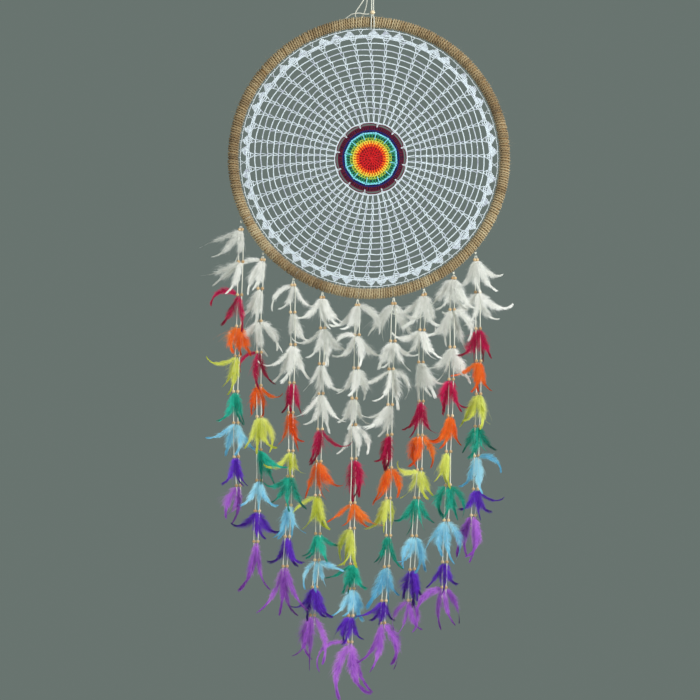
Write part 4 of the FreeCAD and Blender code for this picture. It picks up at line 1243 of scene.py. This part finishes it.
def make_feathers():
    """The feathers of every level, each with its own habit, side of the cords, lane and splay."""
    rng = np.random.default_rng(41)
    for number, levels in enumerate(STRANDS, start=1):
        body = f"strand_{number}"
        shapes = {}
        drops = [level[1] for level in levels[1:]] + [None]
        for (x, drop, colour, length, leans), next_drop in zip(levels, drops):
            shape = shapes.setdefault(colour, Shape())
            kind = "white" if colour == "white" else "dyed"
            for index, degrees in enumerate(leans):
                if kind == "dyed" and abs(degrees) < SPREAD:
                    degrees = degrees * GATHERED + rng.normal(0, 5)
                lean = math.radians(degrees)
                own = feather_length(x, drop, lean, length, next_drop) * rng.uniform(0.9, 1.12)
                inmost = index == min(range(len(leans)), key=lambda other: abs(leans[other]))
                side = 1 if (index + number - 1 + round(drop / MM)) % 2 and not inmost else -1
                lane, splay = LANES[0] if index < 2 else LANES[1]
                habit = rng.choice(["sweep", "plain", "bow"], p=HABITS.get(colour, HABITS["dyed"]))
                fluff = rng.uniform(*FLUFF[kind])
                bead = 0 if inmost else math.copysign(0.75 * LEG_GAP, lean)
                root = MIDDLE + [x + bead, 0, -drop - 1.6 * MM]
                half_width = rng.uniform(0.56, 1) * WIDEST[kind] * (0.7 + 0.3 * own / length)
                if abs(degrees) > SPREAD:
                    half_width *= 0.7
                if abs(degrees) > FLAT_OUT:
                    own *= 0.8
                add_feather(shape, rng, root, lean, habit, own, half_width, side, lane,
                            math.radians(splay), rng.normal(0.5, 0.13), fluff, kind == "dyed")
        for colour, shape in shapes.items():
            kind = "white" if colour == "white" else "dyed"
            make_piece(f"{body}_{colour}", shape, "feather_" + colour, body, f"{body}_feathers_{kind}")


# ---------------- camera and light
def add_camera():
    camera = add_object("camera", bpy.data.cameras.new("camera"))
    view_width, away = 0.989, 2.2
    camera.data.sensor_width = 36
    camera.data.lens = camera.data.sensor_width * away / view_width
    camera.location = (-0.0318, -away, -0.5163)
    camera.rotation_euler = (math.pi / 2, 0, 0)
    camera.data.clip_end = 50
    bpy.context.scene.camera = camera


def add_light(name, place, aim, size, power, colour=(1.0, 1.0, 1.0)):
    light = bpy.data.lights.new(name, "AREA")
    light.shape, light.size, light.energy, light.color = "DISK", size, power, colour
    lamp = add_object(name, light)
    lamp.location = place
    lamp.rotation_euler = (Vector(aim) - Vector(place)).to_track_quat("-Z", "Y").to_euler()


def add_world(colour, strength):
    world = bpy.data.worlds.new("studio")
    bpy.context.scene.world = world
    world.use_nodes = True
    background = world.node_tree.nodes["Background"]
    background.inputs["Color"].default_value = (*colour, 1)
    background.inputs["Strength"].default_value = strength


def add_floor():
    """A pale disc well below the feathers."""
    sides, radius, height = 96, 2.1, -1.5
    turns = 2 * np.pi * np.arange(sides) / sides
    mesh = bpy.data.meshes.new("floor")
    rim = [(radius * math.cos(a), radius * math.sin(a), height) for a in turns]
    mesh.from_pydata(rim, [], [range(sides)])
    mesh.materials.append(plain_floor())
    add_object("floor", mesh)


# ---------------- build
add_camera()
make_hanger()
make_strands()
make_jute()
make_strand_ties()
make_rounds()
make_posts()
edge_rng = np.random.default_rng(8)
make_edge_band(edge_rng)
make_edge_points(edge_rng)
make_lacing(edge_rng)
make_mandala()
make_feathers()
# The cane's second colour is the yarn's painted shade, 0.7 of its colour.
core_material = yarn("cane", CANE, scaled(CANE, 0.7), sheen=0.0)
for material_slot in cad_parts["hoop_ring"].material_slots:
    material_slot.material = core_material

add_floor()
add_world((0.14, 0.175, 0.16), 1.0)
add_light("key", (1.9, -2.0, 0.5), (0, 0, -0.5), 1.2, 95)
add_light("fill", (-1.9, -2.0, -0.2), (0, 0, -0.5), 2.0, 22)
add_light("back", (0.6, 2.2, 0.5), (0, 0, -0.4), 1.6, 40)
bpy.context.scene.view_settings.view_transform = "Standard"
